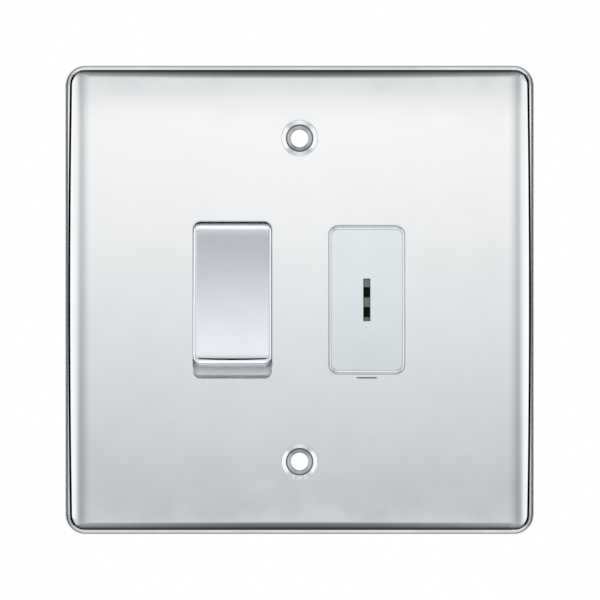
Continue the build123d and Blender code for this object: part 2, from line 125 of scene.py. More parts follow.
def dress(material, *names):
    """Give CAD nodes a finish."""
    for name in names:
        for slot in nodes[name].material_slots:
            slot.material = material


# Bright zinc on rolled steel: a cool, half-dull metal with a fine crystal mottle and the sheet's
# rolling lines running up it.
zinc, tree, place = begin_finish("bright_zinc_on_rolled_steel")
up_sheet = {"Vector": place, "Scale": (1.0, 1.0, 0.06)}
rolled = add_node(tree, "ShaderNodeMapping", {}, up_sheet).outputs["Vector"]
lines = grain_of(tree, rolled, 0.5 * MM, 2.0)
crystals = add_node(tree, "ShaderNodeTexVoronoi", {}, {"Vector": place, "Scale": 1 / (1.4 * MM)})
mottle = add_node(
    tree, "ShaderNodeMath", {"operation": "MULTIPLY"}, {0: lines, 1: crystals.outputs["Distance"]}
).outputs["Value"]
end_finish(tree, mottle, ("#b9bdc1", "#cfd3d8"), (0.24, 0.42), 0.01 * MM, 0.12 * MM, metallic=1.0)
dress(zinc, "grid_frame")

# Earth clamp
# A drilled and tapped block of free-cutting brass on the back of the frame, for the protective
# conductor of the metal plate. Every clamp in the switch is of the same bar.
# Sawn and drilled brass: warm yellow with fine cutter marks across the bar.
brass, tree, place = begin_finish("machined_brass")
cut = add_node(tree, "ShaderNodeMapping", {}, {"Vector": place, "Scale": (0.1, 1.0, 1.0)}).outputs["Vector"]
cutter_marks = grain_of(tree, cut, 0.25 * MM, 2.0)
end_finish(tree, cutter_marks, ("#b8934a", "#d6b673"), (0.2, 0.36), 0.012 * MM, 0.15 * MM, metallic=1.0)
dress(brass, "earth_terminal")

# Module bodies
# Two housings and their flat back covers, compression moulded in a pale thermoset. The necks clip
# into the frame's windows, and the covers are held by three small screws each.
# Moulded thermoset: cool off-white, half matt, with the fine spark texture of the tool.
moulding, tree, place = begin_finish("pale_thermoset_moulding")
spark = grain_of(tree, place, 0.22 * MM, 2.0)
end_finish(tree, spark, ("#d9dae1", "#e3e4ea"), (0.36, 0.48), 0.012 * MM, 0.2 * MM)
dress(moulding, "rocker_housing", "rocker_base", "key_housing", "key_base")

# Terminals and contacts
# Brass clamps with their strips, copper see-saw blades, and riveted silver buttons that meet when
# a lever throws its blade over.
# Stamped copper alloy: reddish, softly streaked along the rolled strip.
copper, tree, place = begin_finish("rolled_contact_copper")
up_strip = {"Vector": place, "Scale": (1.0, 1.0, 0.08)}
strip = add_node(tree, "ShaderNodeMapping", {}, up_strip).outputs["Vector"]
streaks = grain_of(tree, strip, 0.3 * MM, 2.0)
end_finish(tree, streaks, ("#b5714c", "#cf9068"), (0.22, 0.36), 0.008 * MM, 0.1 * MM, metallic=1.0)

# Silver alloy: white and soft, with a faintly tarnished bloom.
silver, tree, place = begin_finish("silver_contact_alloy")
bloom = grain_of(tree, place, 0.6 * MM, 3.0)
end_finish(tree, bloom, ("#d2cdc2", "#e6e4de"), (0.2, 0.34), 0.006 * MM, 0.2 * MM, metallic=1.0)

for module in ("rocker", "key"):
    dress(brass, *[f"{module}_terminal_{role}" for role in ("common", "upper", "lower")])
    dress(copper, f"{module}_contact")
    dress(silver, f"{module}_moving_tips", f"{module}_fixed_tips")

# Clamp screws and base screws
# Cold-headed steel with rolled threads, bright zinc plated. The clamp screws have a slotted cheese
# head and stand backed out, and the base screws a small cross recess.
SCREW_SIDES = 40
THREAD_STEPS = 8


def solids_of(node):
    """Lowest and highest corners of each separate solid of a CAD node."""
    bm = bmesh.new()
    bm.from_mesh(nodes[node].data)
    bmesh.ops.remove_doubles(bm, verts=bm.verts, dist=0.001 * MM)
    waiting = set(bm.verts)
    boxes = []
    while waiting:
        reached = [waiting.pop()]
        island = []
        while reached:
            vertex = reached.pop()
            island.append(vertex.co.copy())
            found = {edge.other_vert(vertex) for edge in vertex.link_edges} & waiting
            waiting -= found
            reached += found
        low, high = Vector(map(min, *island)), Vector(map(max, *island))
        boxes.append((low, high))
    bm.free()
    return sorted(boxes, key=lambda corners: tuple(corners[0]))


def shade_by_angle(mesh, limit):
    """Smooth shading, with edges left sharp where faces turn by more than a limit in degrees."""
    bm = bmesh.new()
    bm.from_mesh(mesh)
    for face in bm.faces:
        face.smooth = True
    for edge in bm.edges:
        edge.smooth = edge.is_manifold and edge.calc_face_angle() < radians(limit)
    bm.to_mesh(mesh)
    bm.free()


def screw_blank(name, head_radius, head_height, shank_radius, length, pitch, depth):
    """Turned screw standing on its tip, with its head's seat at the origin and a rolled thread."""
    tip = 0.5 * pitch
    soft = 0.16 * head_height
    rows = [(shank_radius - depth - tip / 2, -length, 0.0), (shank_radius - depth, tip - length, 0.0)]
    turns = (length - 2 * tip) / pitch
    for step in range(1, int(turns * THREAD_STEPS)):
        rows.append((shank_radius, tip - length + step * pitch / THREAD_STEPS, depth))
    rows += [(shank_radius - depth, -tip, 0.0), (shank_radius - depth, 0.0, 0.0)]
    rows += [(head_radius - soft / 2, 0.0, 0.0), (head_radius, soft / 2, 0.0)]
    for step in range(5):
        turn = step / 4 * pi / 2
        rows.append((head_radius - soft + soft * cos(turn), head_height - soft + soft * sin(turn), 0.0))
    bm = bmesh.new()
    rings = []
    for radius, height, cut in rows:
        ring = []
        for side in range(SCREW_SIDES):
            angle = 2 * pi * side / SCREW_SIDES
            wave = abs((height / pitch - side / SCREW_SIDES) % 1.0 - 0.5) * 2
            reach = radius - cut * wave
            ring.append(bm.verts.new((reach * cos(angle), reach * sin(angle), height)))
        rings.append(ring)
    for lower, upper in zip(rings, rings[1:]):
        for side in range(SCREW_SIDES):
            after = (side + 1) % SCREW_SIDES
            bm.faces.new((lower[side], lower[after], upper[after], upper[side]))
    bm.faces.new(rings[0])
    bm.faces.new(rings[-1])
    bmesh.ops.recalc_face_normals(bm, faces=bm.faces)
    mesh = bpy.data.meshes.new(name)
    bm.to_mesh(mesh)
    bm.free()
    return bpy.data.objects.new(name, mesh)


def new_tree(name, sockets):
    """Geometry tree with named inputs. Returns the tree and its input node."""
    tree = bpy.data.node_groups.new(name, "GeometryNodeTree")
    tree.interface.new_socket("Geometry", in_out="OUTPUT", socket_type="NodeSocketGeometry")
    tree.interface.new_socket("Geometry", in_out="INPUT", socket_type="NodeSocketGeometry")
    for socket, kind in sockets.items():
        tree.interface.new_socket(socket, in_out="INPUT", socket_type=kind)
    return tree, add_node(tree, "NodeGroupInput", {}, {}).outputs


def grow(name, points, tree, inputs):
    """Run a geometry tree on loose points and keep its result as a plain mesh."""
    seed = bpy.data.meshes.new(name)
    seed.from_pydata(points, [], [])
    piece = bpy.data.objects.new(name, seed)
    scene.collection.objects.link(piece)
    modifier = piece.modifiers.new("grow", "NODES")
    modifier.node_group = tree
    for socket in tree.interface.items_tree:
        if socket.in_out == "INPUT" and socket.name in inputs:
            modifier[socket.identifier] = inputs[socket.name]
    evaluated = piece.evaluated_get(bpy.context.evaluated_depsgraph_get())
    mesh = bpy.data.meshes.new_from_object(evaluated)
    piece.modifiers.clear()
    piece.data = mesh
    return piece


# Screws on points: the recess is cut once, then each screw is turned to where its thread ran tight.
screw_tree, given = new_tree(
    "driven_screws",
    {
        "Blank": "NodeSocketObject",
        "Recess Length": "NodeSocketFloat",
        "Recess Width": "NodeSocketFloat",
        "Recess Depth": "NodeSocketFloat",
        "Head Height": "NodeSocketFloat",
        "Cross": "NodeSocketBool",
        "Finish": "NodeSocketMaterial",
    },
)
blank = add_node(screw_tree, "GeometryNodeObjectInfo", {}, {"Object": given["Blank"]}).outputs["Geometry"]
deep = add_node(
    screw_tree, "ShaderNodeMath", {"operation": "MULTIPLY"}, {0: given["Recess Depth"], 1: 2.0}
).outputs["Value"]
recess_size = {"X": given["Recess Length"], "Y": given["Recess Width"], "Z": deep}
size = add_node(screw_tree, "ShaderNodeCombineXYZ", {}, recess_size).outputs["Vector"]
top = add_node(screw_tree, "ShaderNodeCombineXYZ", {}, {"Z": given["Head Height"]}).outputs["Vector"]
cube = add_node(screw_tree, "GeometryNodeMeshCube", {}, {"Size": size}).outputs["Mesh"]
blade = add_node(
    screw_tree, "GeometryNodeTransform", {}, {"Geometry": cube, "Translation": top}
).outputs["Geometry"]
crossed = add_node(
    screw_tree, "GeometryNodeTransform", {}, {"Geometry": blade, "Rotation": (0.0, 0.0, pi / 2)}
).outputs["Geometry"]
second = add_node(
    screw_tree,
    "GeometryNodeSwitch",
    {"input_type": "GEOMETRY"},
    {"Switch": given["Cross"], "False": blade, "True": crossed},
).outputs["Output"]
slotted = add_node(
    screw_tree, "GeometryNodeMeshBoolean", {"operation": "DIFFERENCE"}, {"Mesh 1": blank, "Mesh 2": blade}
).outputs["Mesh"]
recessed = add_node(
    screw_tree, "GeometryNodeMeshBoolean", {"operation": "DIFFERENCE"}, {"Mesh 1": slotted, "Mesh 2": second}
).outputs["Mesh"]
placed = add_node(
    screw_tree,
    "GeometryNodeInstanceOnPoints",
    {},
    {"Points": given["Geometry"], "Instance": recessed, "Rotation": (-pi / 2, 0.0, 0.0)},
).outputs["Instances"]
stop_angle = add_node(
    screw_tree,
    "FunctionNodeRandomValue",
    {"data_type": "FLOAT_VECTOR"},
    {"Min": (0.0, 0.0, 0.0), "Max": (0.0, 0.0, pi), "Seed": 7},
).outputs["Value"]
turned = add_node(
    screw_tree, "GeometryNodeRotateInstances", {}, {"Instances": placed, "Rotation": stop_angle}
).outputs["Instances"]
solid = add_node(screw_tree, "GeometryNodeRealizeInstances", {}, {"Geometry": turned}).outputs["Geometry"]
finished = add_node(
    screw_tree, "GeometryNodeSetMaterial", {}, {"Geometry": solid, "Material": given["Finish"]}
).outputs["Geometry"]
add_node(screw_tree, "NodeGroupOutput", {}, {"Geometry": finished})

# Bright zinc on cold-headed steel: smoother and whiter than the sheet.
screw_zinc, tree, place = begin_finish("bright_zinc_screw")
plating = grain_of(tree, place, 0.3 * MM, 2.0)
end_finish(tree, plating, ("#bfc3c8", "#d8dbdf"), (0.18, 0.3), 0.006 * MM, 0.08 * MM, metallic=1.0)

clamp_head_height = 1.8 * MM
clamp_blank = screw_blank(
    "clamp_screw",
    head_radius=2.6 * MM,
    head_height=clamp_head_height,
    shank_radius=1.35 * MM,
    length=2.8 * MM,
    pitch=0.6 * MM,
    depth=0.22 * MM,
)
clamp_recess = {
    "Blank": clamp_blank,
    "Recess Length": 6.0 * MM,
    "Recess Width": 0.7 * MM,
    "Recess Depth": 0.9 * MM,
    "Head Height": clamp_head_height,
    "Cross": False,
    "Finish": screw_zinc,
}
base_head_height = 1.1 * MM
base_blank = screw_blank(
    "base_screw",
    head_radius=1.7 * MM,
    head_height=base_head_height,
    shank_radius=0.85 * MM,
    length=8.7 * MM,
    pitch=0.7 * MM,
    depth=0.2 * MM,
)
base_recess = {
    "Blank": base_blank,
    "Recess Length": 1.9 * MM,
    "Recess Width": 0.45 * MM,
    "Recess Depth": 0.75 * MM,
    "Head Height": base_head_height,
    "Cross": True,
    "Finish": screw_zinc,
}
screw_groups = {"earth_screw": clamp_recess}
for module in ("rocker", "key"):
    screw_groups[f"{module}_terminal_screws"] = clamp_recess
    screw_groups[f"{module}_base_screws"] = base_recess
for node, recess in screw_groups.items():
    seats = []
    for low, high in solids_of(node):
        middle = (low + high) / 2
        seats.append((middle.x, high.y - recess["Head Height"], middle.z))
    screws = grow(f"driven_{node}", seats, screw_tree, recess)
    shade_by_angle(screws.data, 40)
    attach(screws, FIXED)
    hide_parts(node)
bpy.data.objects.remove(clamp_blank)
bpy.data.objects.remove(base_blank)

# Plungers and springs
# Each lever carries a sprung nylon plunger in its barrel. The spring is wound from drawn steel wire
# with closed ends, and takes up the plunger's travel as the nose rides over the blade.
SPRING_LENGTH = 5.4 * MM
SPRING_RADIUS = 1.5 * MM
WIRE_RADIUS = 0.2 * MM
SPRING_TURNS = 7.0
CLOSED_ENDS = 0.42

spring_tree, given = new_tree(
    "wound_spring",
    {
        "Length": "NodeSocketFloat",
        "Mean Radius": "NodeSocketFloat",
        "Wire Radius": "NodeSocketFloat",
        "Turns": "NodeSocketFloat",
        "End Closing": "NodeSocketFloat",
        "Centre": "NodeSocketVector",
        "Direction": "NodeSocketVector",
        "Finish": "NodeSocketMaterial",
    },
)
helix = add_node(
    spring_tree,
    "GeometryNodeCurveSpiral",
    {},
    {
        "Resolution": 28,
        "Rotations": given["Turns"],
        "Start Radius": given["Mean Radius"],
        "End Radius": given["Mean Radius"],
        "Height": given["Length"],
    },
).outputs["Curve"]
height = add_node(
    spring_tree,
    "ShaderNodeSeparateXYZ",
    {},
    {"Vector": add_node(spring_tree, "GeometryNodeInputPosition", {}, {}).outputs["Position"]},
).outputs["Z"]
share = add_node(
    spring_tree, "ShaderNodeMath", {"operation": "DIVIDE"}, {0: height, 1: given["Length"]}
).outputs["Value"]
phase = add_node(
    spring_tree, "ShaderNodeMath", {"operation": "MULTIPLY"}, {0: share, 1: 2 * pi}
).outputs["Value"]
wave = add_node(spring_tree, "ShaderNodeMath", {"operation": "SINE"}, {0: phase}).outputs["Value"]
reach = add_node(
    spring_tree, "ShaderNodeMath", {"operation": "MULTIPLY"}, {0: given["Length"], 1: given["End Closing"]}
).outputs["Value"]
pull = add_node(
    spring_tree, "ShaderNodeMath", {"operation": "MULTIPLY"}, {0: wave, 1: reach}
).outputs["Value"]
shift = add_node(
    spring_tree, "ShaderNodeMath", {"operation": "DIVIDE"}, {0: pull, 1: -2 * pi}
).outputs["Value"]
offset = add_node(spring_tree, "ShaderNodeCombineXYZ", {}, {"Z": shift}).outputs["Vector"]
wound = add_node(
    spring_tree, "GeometryNodeSetPosition", {}, {"Geometry": helix, "Offset": offset}
).outputs["Geometry"]
section = add_node(
    spring_tree, "GeometryNodeCurvePrimitiveCircle", {}, {"Resolution": 10, "Radius": given["Wire Radius"]}
).outputs["Curve"]
wire = add_node(
    spring_tree, "GeometryNodeCurveToMesh", {}, {"Curve": wound, "Profile Curve": section, "Fill Caps": True}
).outputs["Mesh"]
half_down = add_node(
    spring_tree, "ShaderNodeMath", {"operation": "MULTIPLY"}, {0: given["Length"], 1: -0.5}
).outputs["Value"]
down = add_node(spring_tree, "ShaderNodeCombineXYZ", {}, {"Z": half_down}).outputs["Vector"]
centred = add_node(
    spring_tree, "GeometryNodeTransform", {}, {"Geometry": wire, "Translation": down}
).outputs["Geometry"]
aim = add_node(
    spring_tree, "FunctionNodeAlignRotationToVector", {"axis": "Z"}, {"Vector": given["Direction"]}
).outputs["Rotation"]
in_barrel = add_node(
    spring_tree,
    "GeometryNodeTransform",
    {},
    {"Geometry": centred, "Translation": given["Centre"], "Rotation": aim},
).outputs["Geometry"]
real = add_node(spring_tree, "GeometryNodeRealizeInstances", {}, {"Geometry": in_barrel}).outputs["Geometry"]
painted = add_node(
    spring_tree, "GeometryNodeSetMaterial", {}, {"Geometry": real, "Material": given["Finish"]}
).outputs["Geometry"]
add_node(spring_tree, "NodeGroupOutput", {}, {"Geometry": painted})

# Drawn spring wire: dark grey with fine draw lines.
spring_wire, tree, place = begin_finish("drawn_spring_wire")
drawn = grain_of(tree, place, 0.15 * MM, 2.0)
end_finish(tree, drawn, ("#6f7276", "#8d9094"), (0.28, 0.4), 0.004 * MM, 0.02 * MM, metallic=1.0)

# Natural nylon: warm, slightly waxy off-white.
nylon, tree, place = begin_finish("natural_nylon")
wax = grain_of(tree, place, 0.5 * MM, 2.0)
end_finish(tree, wax, ("#c4c0b1", "#d0ccbf"), (0.38, 0.5), 0.006 * MM, 0.15 * MM)

for module, lever in (("rocker", "rocker"), ("key", "key_lever")):
    slide = joints[f"{module}_plunger_slide"]
    inward = Vector(slide["axis"]).normalized()
    low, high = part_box(f"{module}_spring")
    middle = (low + high) / 2
    spring = grow(
        f"wound_{module}_spring",
        [middle],
        spring_tree,
        {
            "Length": SPRING_LENGTH - 2 * WIRE_RADIUS,
            "Mean Radius": SPRING_RADIUS - WIRE_RADIUS,
            "Wire Radius": WIRE_RADIUS,
            "Turns": SPRING_TURNS,
            "End Closing": CLOSED_ENDS,
            "Centre": middle,
            "Direction": inward,
            "Finish": spring_wire,
        },
    )
    shade_by_angle(spring.data, 60)
    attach(spring, lever)
    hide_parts(f"{module}_spring")
    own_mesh(spring)
    dress(nylon, f"{module}_plunger")

# Levers
# Two injection-moulded levers on the same pivots: the rocker's is natural nylon under its cap, the
# key switch's is dark grey glass-filled nylon, seen through the key slot.
dress(nylon, "rocker_dolly")

# Glass-filled nylon: mid grey, with short pale fibres just under a satin skin. Painted shade darkens it
# with depth below the lever's face, so that the two pockets are painted almost black.
pocket_full_shade = 3.6 * MM
face_full_tone = 4.9 * MM
filled_nylon, tree, place = begin_finish("grey_glass_filled_nylon_with_painted_pocket_shade")
fibres = grain_of(tree, place, 0.3 * MM, 3.0)
lever_pivot = Vector(joints["key_tilt"]["pos_m"])
lever_front = Vector(joints["key_plunger_slide"]["axis"])
from_pivot = add_node(
    tree, "ShaderNodeVectorMath", {"operation": "SUBTRACT"}, {0: place, 1: lever_pivot}
).outputs["Vector"]
rise = add_node(
    tree, "ShaderNodeVectorMath", {"operation": "DOT_PRODUCT"}, {0: from_pivot, 1: lever_front}
).outputs["Value"]
# painted shade: darker the deeper a spot lies below the lever's face, black at the pocket floors
pocket_shade = add_node(
    tree, "ShaderNodeMapRange", {}, {"Value": rise, "From Min": pocket_full_shade, "From Max": face_full_tone}
).outputs["Result"]
flecked = add_node(tree, "ShaderNodeMapRange", {}, {"Value": fibres, "To Min": 0.7}).outputs["Result"]
shaded_fibres = add_node(tree, "ShaderNodeMath", {"operation": "MULTIPLY"}, {0: pocket_shade, 1: flecked}).outputs["Value"]
end_finish(tree, shaded_fibres, ("#131512", "#6d736b"), (0.6, 0.42), 0.01 * MM, 0.1 * MM)
dress(filled_nylon, "key_dolly")


# Rocker cap
# A zinc die casting, polished and chrome plated: a crowned pad with soft ends and flanks, hollow
# behind, pushed on to the lever's saddle. It rests with its top pressed in.
class Shell:
    """A closed skin of points and faces, each face with the surface's own normals at its corners."""

    def __init__(self):
        self.points = []
        self.faces = []
        self.normals = []
        self.finishes = []
        self.finish = 0

    def ring(self, points):
        """Add a loop of points and return their numbers."""
        first = len(self.points)
        self.points += points
        return list(range(first, len(self.points)))

    def face(self, corners, normals=None):
        """Add one face, flat if no normals are given."""
        self.faces.append(corners)
        self.normals.append(dict(zip(corners, normals)) if normals else {})
        self.finishes.append(self.finish)

    def band(self, first, second, first_normals=None, second_normals=None):
        """Join two loops of as many points by a band of four-sided faces."""
        for at, here in enumerate(first):
            after = (at + 1) % len(first)
            corners = (here, first[after], second[after], second[at])
            if first_normals:
                smooth = (first_normals[at], first_normals[after], second_normals[after], second_normals[at])
                self.face(corners, smooth)
            else:
                self.face(corners)

    def bands(self, rings, normals):
        """Join each loop to the next."""
        for at in range(len(rings) - 1):
            self.band(rings[at], rings[at + 1], normals[at], normals[at + 1])

    def piece(self, name, materials, place):
        """Plain mesh object of the skin, its faces turned outwards and moved to its place."""
        mesh = bpy.data.meshes.new(name)
        mesh.from_pydata([place @ Vector(point) for point in self.points], [], self.faces)
        bm = bmesh.new()
        bm.from_mesh(mesh)
        bmesh.ops.recalc_face_normals(bm, faces=bm.faces)
        bm.to_mesh(mesh)
        bm.free()
        turn = place.to_3x3().normalized()
        corner_normals = []
        for material in materials:
            mesh.materials.append(material)
        for polygon in mesh.polygons:
            polygon.use_smooth = True
            polygon.material_index = self.finishes[polygon.index]
            flat = polygon.normal.copy()
            wanted = self.normals[polygon.index]
            for point in polygon.vertices:
                normal = turn @ wanted[point] if point in wanted else flat
                corner_normals.append(normal if normal.dot(flat) >= 0 else -normal)
        mesh.normals_split_custom_set(corner_normals)
        made = bpy.data.objects.new(name, mesh)
        scene.collection.objects.link(made)
        return made


def rounded_loop(half_width, half_height, corner, along=0, steps=6):
    """Points of a rounded rectangle and their outward directions, with extra points up its two sides."""
    loop = []
    for quarter, (side, end) in enumerate(((1, 1), (-1, 1), (-1, -1), (1, -1))):
        centre = Vector((side * (half_width - corner), end * (half_height - corner)))
        for step in range(steps + 1):
            angle = (quarter + step / steps) * pi / 2
            out = Vector((cos(angle), sin(angle)))
            loop.append((centre + corner * out, out))
        if quarter % 2:
            straight = half_height - corner
            for step in range(1, along + 1):
                rise = straight * (1 - 2 * step / (along + 1))
                loop.append((Vector((side * half_width, end * rise)), Vector((side, 0.0))))
    return loop


def zip_loops(shell, first, second, facing):
    """Join two flat loops of different point counts round the middle of the piece."""

    def turn(at):
        return atan2(shell.points[at][1], shell.points[at][0])

    first = sorted(first, key=turn)
    second = sorted(second, key=turn)
    a = b = 0
    while a < len(first) or b < len(second):
        turn_a = turn(first[a + 1]) if a + 1 < len(first) else turn(first[0]) + 2 * pi
        turn_b = turn(second[b + 1]) if b + 1 < len(second) else turn(second[0]) + 2 * pi
        here_a, here_b = first[a % len(first)], second[b % len(second)]
        if b >= len(second) or (a < len(first) and turn_a <= turn_b):
            shell.face([here_a, first[(a + 1) % len(first)], here_b], [facing] * 3)
            a += 1
        else:
            shell.face([here_a, second[(b + 1) % len(second)], here_b], [facing] * 3)
            b += 1


def plated_finish(name, shades, roughness):
    """Polished nickel and chrome plating: a clear mirror with a trace of haze and long, faint waves."""
    material, tree, place = begin_finish(name)
    haze = grain_of(tree, place, 7.0 * MM, 2.0)
    shade, rough = shade_and_gloss(tree, haze, shades, roughness)
    look = {"Base Color": shade, "Roughness": rough, "Metallic": 1.0}
    shader = add_node(tree, "ShaderNodeBsdfPrincipled", {}, look)
    add_node(tree, "ShaderNodeOutputMaterial", {}, {"Surface": shader.outputs["BSDF"]})
    return material


FRONT = Vector((0.0, 0.0, 1.0))
PAD_CORNER_STEPS = 10
PAD_EDGE_STEPS = 24
EASE_POWER = 5


def edge_section(start, stop, radius, ease):
    """Section of a rounded edge between two tilts, tightening to its radius: steps outwards and down."""
    section = [Vector((0.0, 0.0))]
    for step in range(PAD_EDGE_STEPS):
        share = (step + 0.5) / PAD_EDGE_STEPS
        tilt = start + (stop - start) * share
        bend = radius * (1 + ease * (1 - share) ** EASE_POWER)
        section.append(section[-1] + bend * (stop - start) / PAD_EDGE_STEPS * Vector((cos(tilt), sin(tilt))))
    return section


def pad_loop(centre, across, up, along):
    """Plan of a pad with elliptical corners: its points, and how far each belongs to an end, from 0 to 1."""
    loop = []
    for quarter, (side, end) in enumerate(((1, 1), (-1, 1), (-1, -1), (1, -1))):
        for step in range(PAD_CORNER_STEPS + 1):
            turn = (quarter + step / PAD_CORNER_STEPS) * pi / 2
            x = side * centre.x + (across - centre.x) * cos(turn)
            y = end * centre.y + (up - centre.y) * sin(turn)
            loop.append((x, y, sin(turn) ** 2))
        if quarter % 2:
            for step in range(1, along + 1):
                loop.append((side * across, end * centre.y * (1 - 2 * step / (along + 1)), 0.0))
    return loop


def round_over(shell, centre, starts, side_section, end_section, along, height):
    """Add a pad's rounded edge, ring by ring from its face outwards. Returns the rings and their normals."""
    rings = []
    for (side_out, side_down), (end_out, end_down) in zip(side_section, end_section):
        points = []
        for x, y, at_end in pad_loop(centre, starts[0] + side_out, starts[1] + end_out, along):
            down = side_down + (end_down - side_down) * at_end
            points.append(Vector((x, y, height(min(abs(y), starts[1])) - down)))
        rings.append(shell.ring(points))
    normals = []
    for at, ring in enumerate(rings):
        before, after = rings[max(at - 1, 0)], rings[min(at + 1, len(rings) - 1)]
        row = []
        for side in range(len(ring)):
            along_ring = shell.points[ring[(side + 1) % len(ring)]] - shell.points[ring[side - 1]]
            row.append(along_ring.cross(shell.points[after[side]] - shell.points[before[side]]).normalized())
        normals.append(row)
    return rings, normals


cap_half_width = 7.7
cap_half_end = 14.44
cap_reach = 8.4
cap_skirt = 2.6
cap_crown = 0.83
cap_wall = 1.2
cap_end_round = 1.8
cap_end_ease = 0.6
cap_side_round = 0.33
cap_side_ease = 4.0
cap_corner = 1.5
cap_corner_start = 0.1
cap_undercut = radians(6)
cap_lean = radians(10)
hollow_corner = 0.3
crown_steps = 40

crown_radius = (cap_half_end**2 + cap_crown**2) / (2 * cap_crown)
crown_centre = cap_reach + cap_crown - crown_radius
crown_turn = 0.0
for settle in range(8):
    cap_end_section = edge_section(crown_turn, pi / 2 + cap_undercut, cap_end_round, cap_end_ease)
    end_start = cap_half_end - max(out for out, down in cap_end_section)
    crown_turn = asin(end_start / crown_radius)
cap_side_section = edge_section(0.0, pi / 2, cap_side_round, cap_side_ease)
side_start = cap_half_width - cap_side_section[-1].x


def crown_height(y):
    """Height of the crowned face off the pivot."""
    return crown_centre + sqrt(crown_radius**2 - y**2)


cap = Shell()
cap_centre = Vector((cap_half_width - cap_corner, end_start - cap_corner_start))
rings, normals = round_over(
    cap, cap_centre, (side_start, end_start), cap_side_section, cap_end_section, crown_steps, crown_height
)
normals[0] = [
    Vector((0.0, cap.points[at].y, cap.points[at].z - crown_centre)).normalized() for at in rings[0]
]
cap.bands(rings, normals)

# Crowned face, in strips across from the left half of its edge to the right half.
crown_normals = dict(zip(rings[0], normals[0]))
quarter = PAD_CORNER_STEPS + 1
left = rings[0][quarter : 3 * quarter + crown_steps][::-1]
right = rings[0][3 * quarter + crown_steps :] + rings[0][:quarter]
for at in range(len(left) - 1):
    corners = [left[at], right[at], right[at + 1], left[at + 1]]
    cap.face(corners, [crown_normals[corner] for corner in corners])

# Undercut walls down to the foot, and the hollow behind.
wall_end = end_start + cap_end_section[-1].x
wall_drop = crown_height(end_start) - cap_end_section[-1].y - cap_skirt
cap_half_foot = wall_end - wall_drop * tan(cap_undercut)
foot_loop = pad_loop(cap_centre, cap_half_width, cap_half_foot, crown_steps)
cap_foot = cap.ring([Vector((x, y, cap_skirt)) for x, y, at_end in foot_loop])
cap.band(rings[-1], cap_foot, normals[-1], normals[-1])
hollow_loop = rounded_loop(cap_half_width - cap_wall, cap_half_foot - cap_wall, hollow_corner)
hollow_mouth = cap.ring([(point.x, point.y, cap_skirt) for point, out in hollow_loop])
hollow_floor = cap.ring([(point.x, point.y, cap_reach - cap_wall) for point, out in hollow_loop])
zip_loops(cap, cap_foot, hollow_mouth, -FRONT)
cap.band(hollow_mouth, hollow_floor)
cap.face(hollow_floor)

# Chrome over nickel on a die casting: the brightest and coolest of the three platings.
rocker_chrome = plated_finish("polished_chrome_on_casting", ("#dadbdf", "#dfe0e3"), (0.03, 0.06))
pivot = Vector(joints["rocker_tilt"]["pos_m"])
cap_place = Matrix.Translation(pivot) @ Matrix.Rotation(pi / 2 - cap_lean, 4, "X") @ Matrix.Scale(MM, 4)
cap_piece = cap.piece("crowned_rocker_cap", [rocker_chrome], cap_place)
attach(cap_piece, "rocker")
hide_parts("rocker_cap")

# Key cover
# A second plated casting that never moves: a plain block through the plate, trapped behind it by a
# skirt, with one narrow slot for the key.
cover_half_width = 7.415
cover_half_height = 14.6
cover_corner = 1.8
cover_front = 5.8
cover_side_round = 0.33
cover_end_round = 0.8
cover_ease = 3.0
cover_wall = 1.2
cover_front_wall = 1.6
cover_skirt_lip = 0.45
cover_skirt_base = 0.2
cover_skirt_top = 3.1
slot_half_width = 0.675
slot_half_height = 4.185
slot_edge = 0.08
slot_corner = 0.1

cover = Shell()


def outward(loop):
    """Level outward normals of a loop."""
    return [Vector((out.x, out.y, 0.0)) for point, out in loop]


cover_side_section = edge_section(0.0, pi / 2, cover_side_round, cover_ease)
cover_end_section = edge_section(0.0, pi / 2, cover_end_round, 0.0)
cover_centre = Vector((cover_half_width - cover_corner, cover_half_height - cover_corner))
cover_starts = (cover_half_width - cover_side_section[-1].x, cover_half_height - cover_end_section[-1].x)
rings, normals = round_over(
    cover, cover_centre, cover_starts, cover_side_section, cover_end_section, 0, lambda y: cover_front
)
normals[0] = [FRONT] * len(rings[0])
cover.bands(rings, normals)


def cover_ring(half_width, half_height, corner, height):
    """Rounded ring of the cover at one height off the wall."""
    loop = pad_loop(Vector((half_width - corner, half_height - corner)), half_width, half_height, 0)
    return cover.ring([Vector((x, y, height)) for x, y, at_end in loop])


skirt = [size + cover_skirt_lip for size in (cover_half_width, cover_half_height, cover_corner)]
slot = (slot_half_width, slot_half_height, slot_corner)
slot_mouth = (slot_half_width + slot_edge, slot_half_height + slot_edge, slot_corner + slot_edge)
hollow = (cover_half_width - cover_wall, cover_half_height - cover_wall, hollow_corner)
ceiling_height = cover_front - cover_front_wall

# Walls down to the skirt that the plate traps, then the slot and the hollow behind it.
block_foot = cover_ring(cover_half_width, cover_half_height, cover_corner, cover_skirt_top)
skirt_top = cover_ring(*skirt, cover_skirt_top)
skirt_foot = cover_ring(*skirt, cover_skirt_base)
cover.band(rings[-1], block_foot, normals[-1], normals[-1])
cover.band(block_foot, skirt_top)
cover.band(skirt_top, skirt_foot, normals[-1], normals[-1])
mouth = cover_ring(*slot_mouth, cover_front)
throat = cover_ring(*slot, cover_front - slot_edge)
slot_back = cover_ring(*slot, ceiling_height)
ceiling = cover_ring(*hollow, ceiling_height)
inner_foot = cover_ring(*hollow, cover_skirt_base)
inner_rings = (rings[0], mouth, throat, slot_back, ceiling, inner_foot, skirt_foot)
for ring, after in zip(inner_rings, inner_rings[1:]):
    cover.band(ring, after)

cover_chrome = plated_finish("polished_chrome_on_cover", ("#cdd1d1", "#d1d5d5"), (0.03, 0.06))
upright = Matrix.Rotation(pi / 2, 4, "X") @ Matrix.Scale(MM, 4)
key_x = Vector(joints["key_tilt"]["pos_m"]).x
cover_piece = cover.piece("key_slot_cover", [cover_chrome], Matrix.Translation((key_x, 0.0, 0.0)) @ upright)
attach(cover_piece, FIXED)
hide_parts("key_cover")

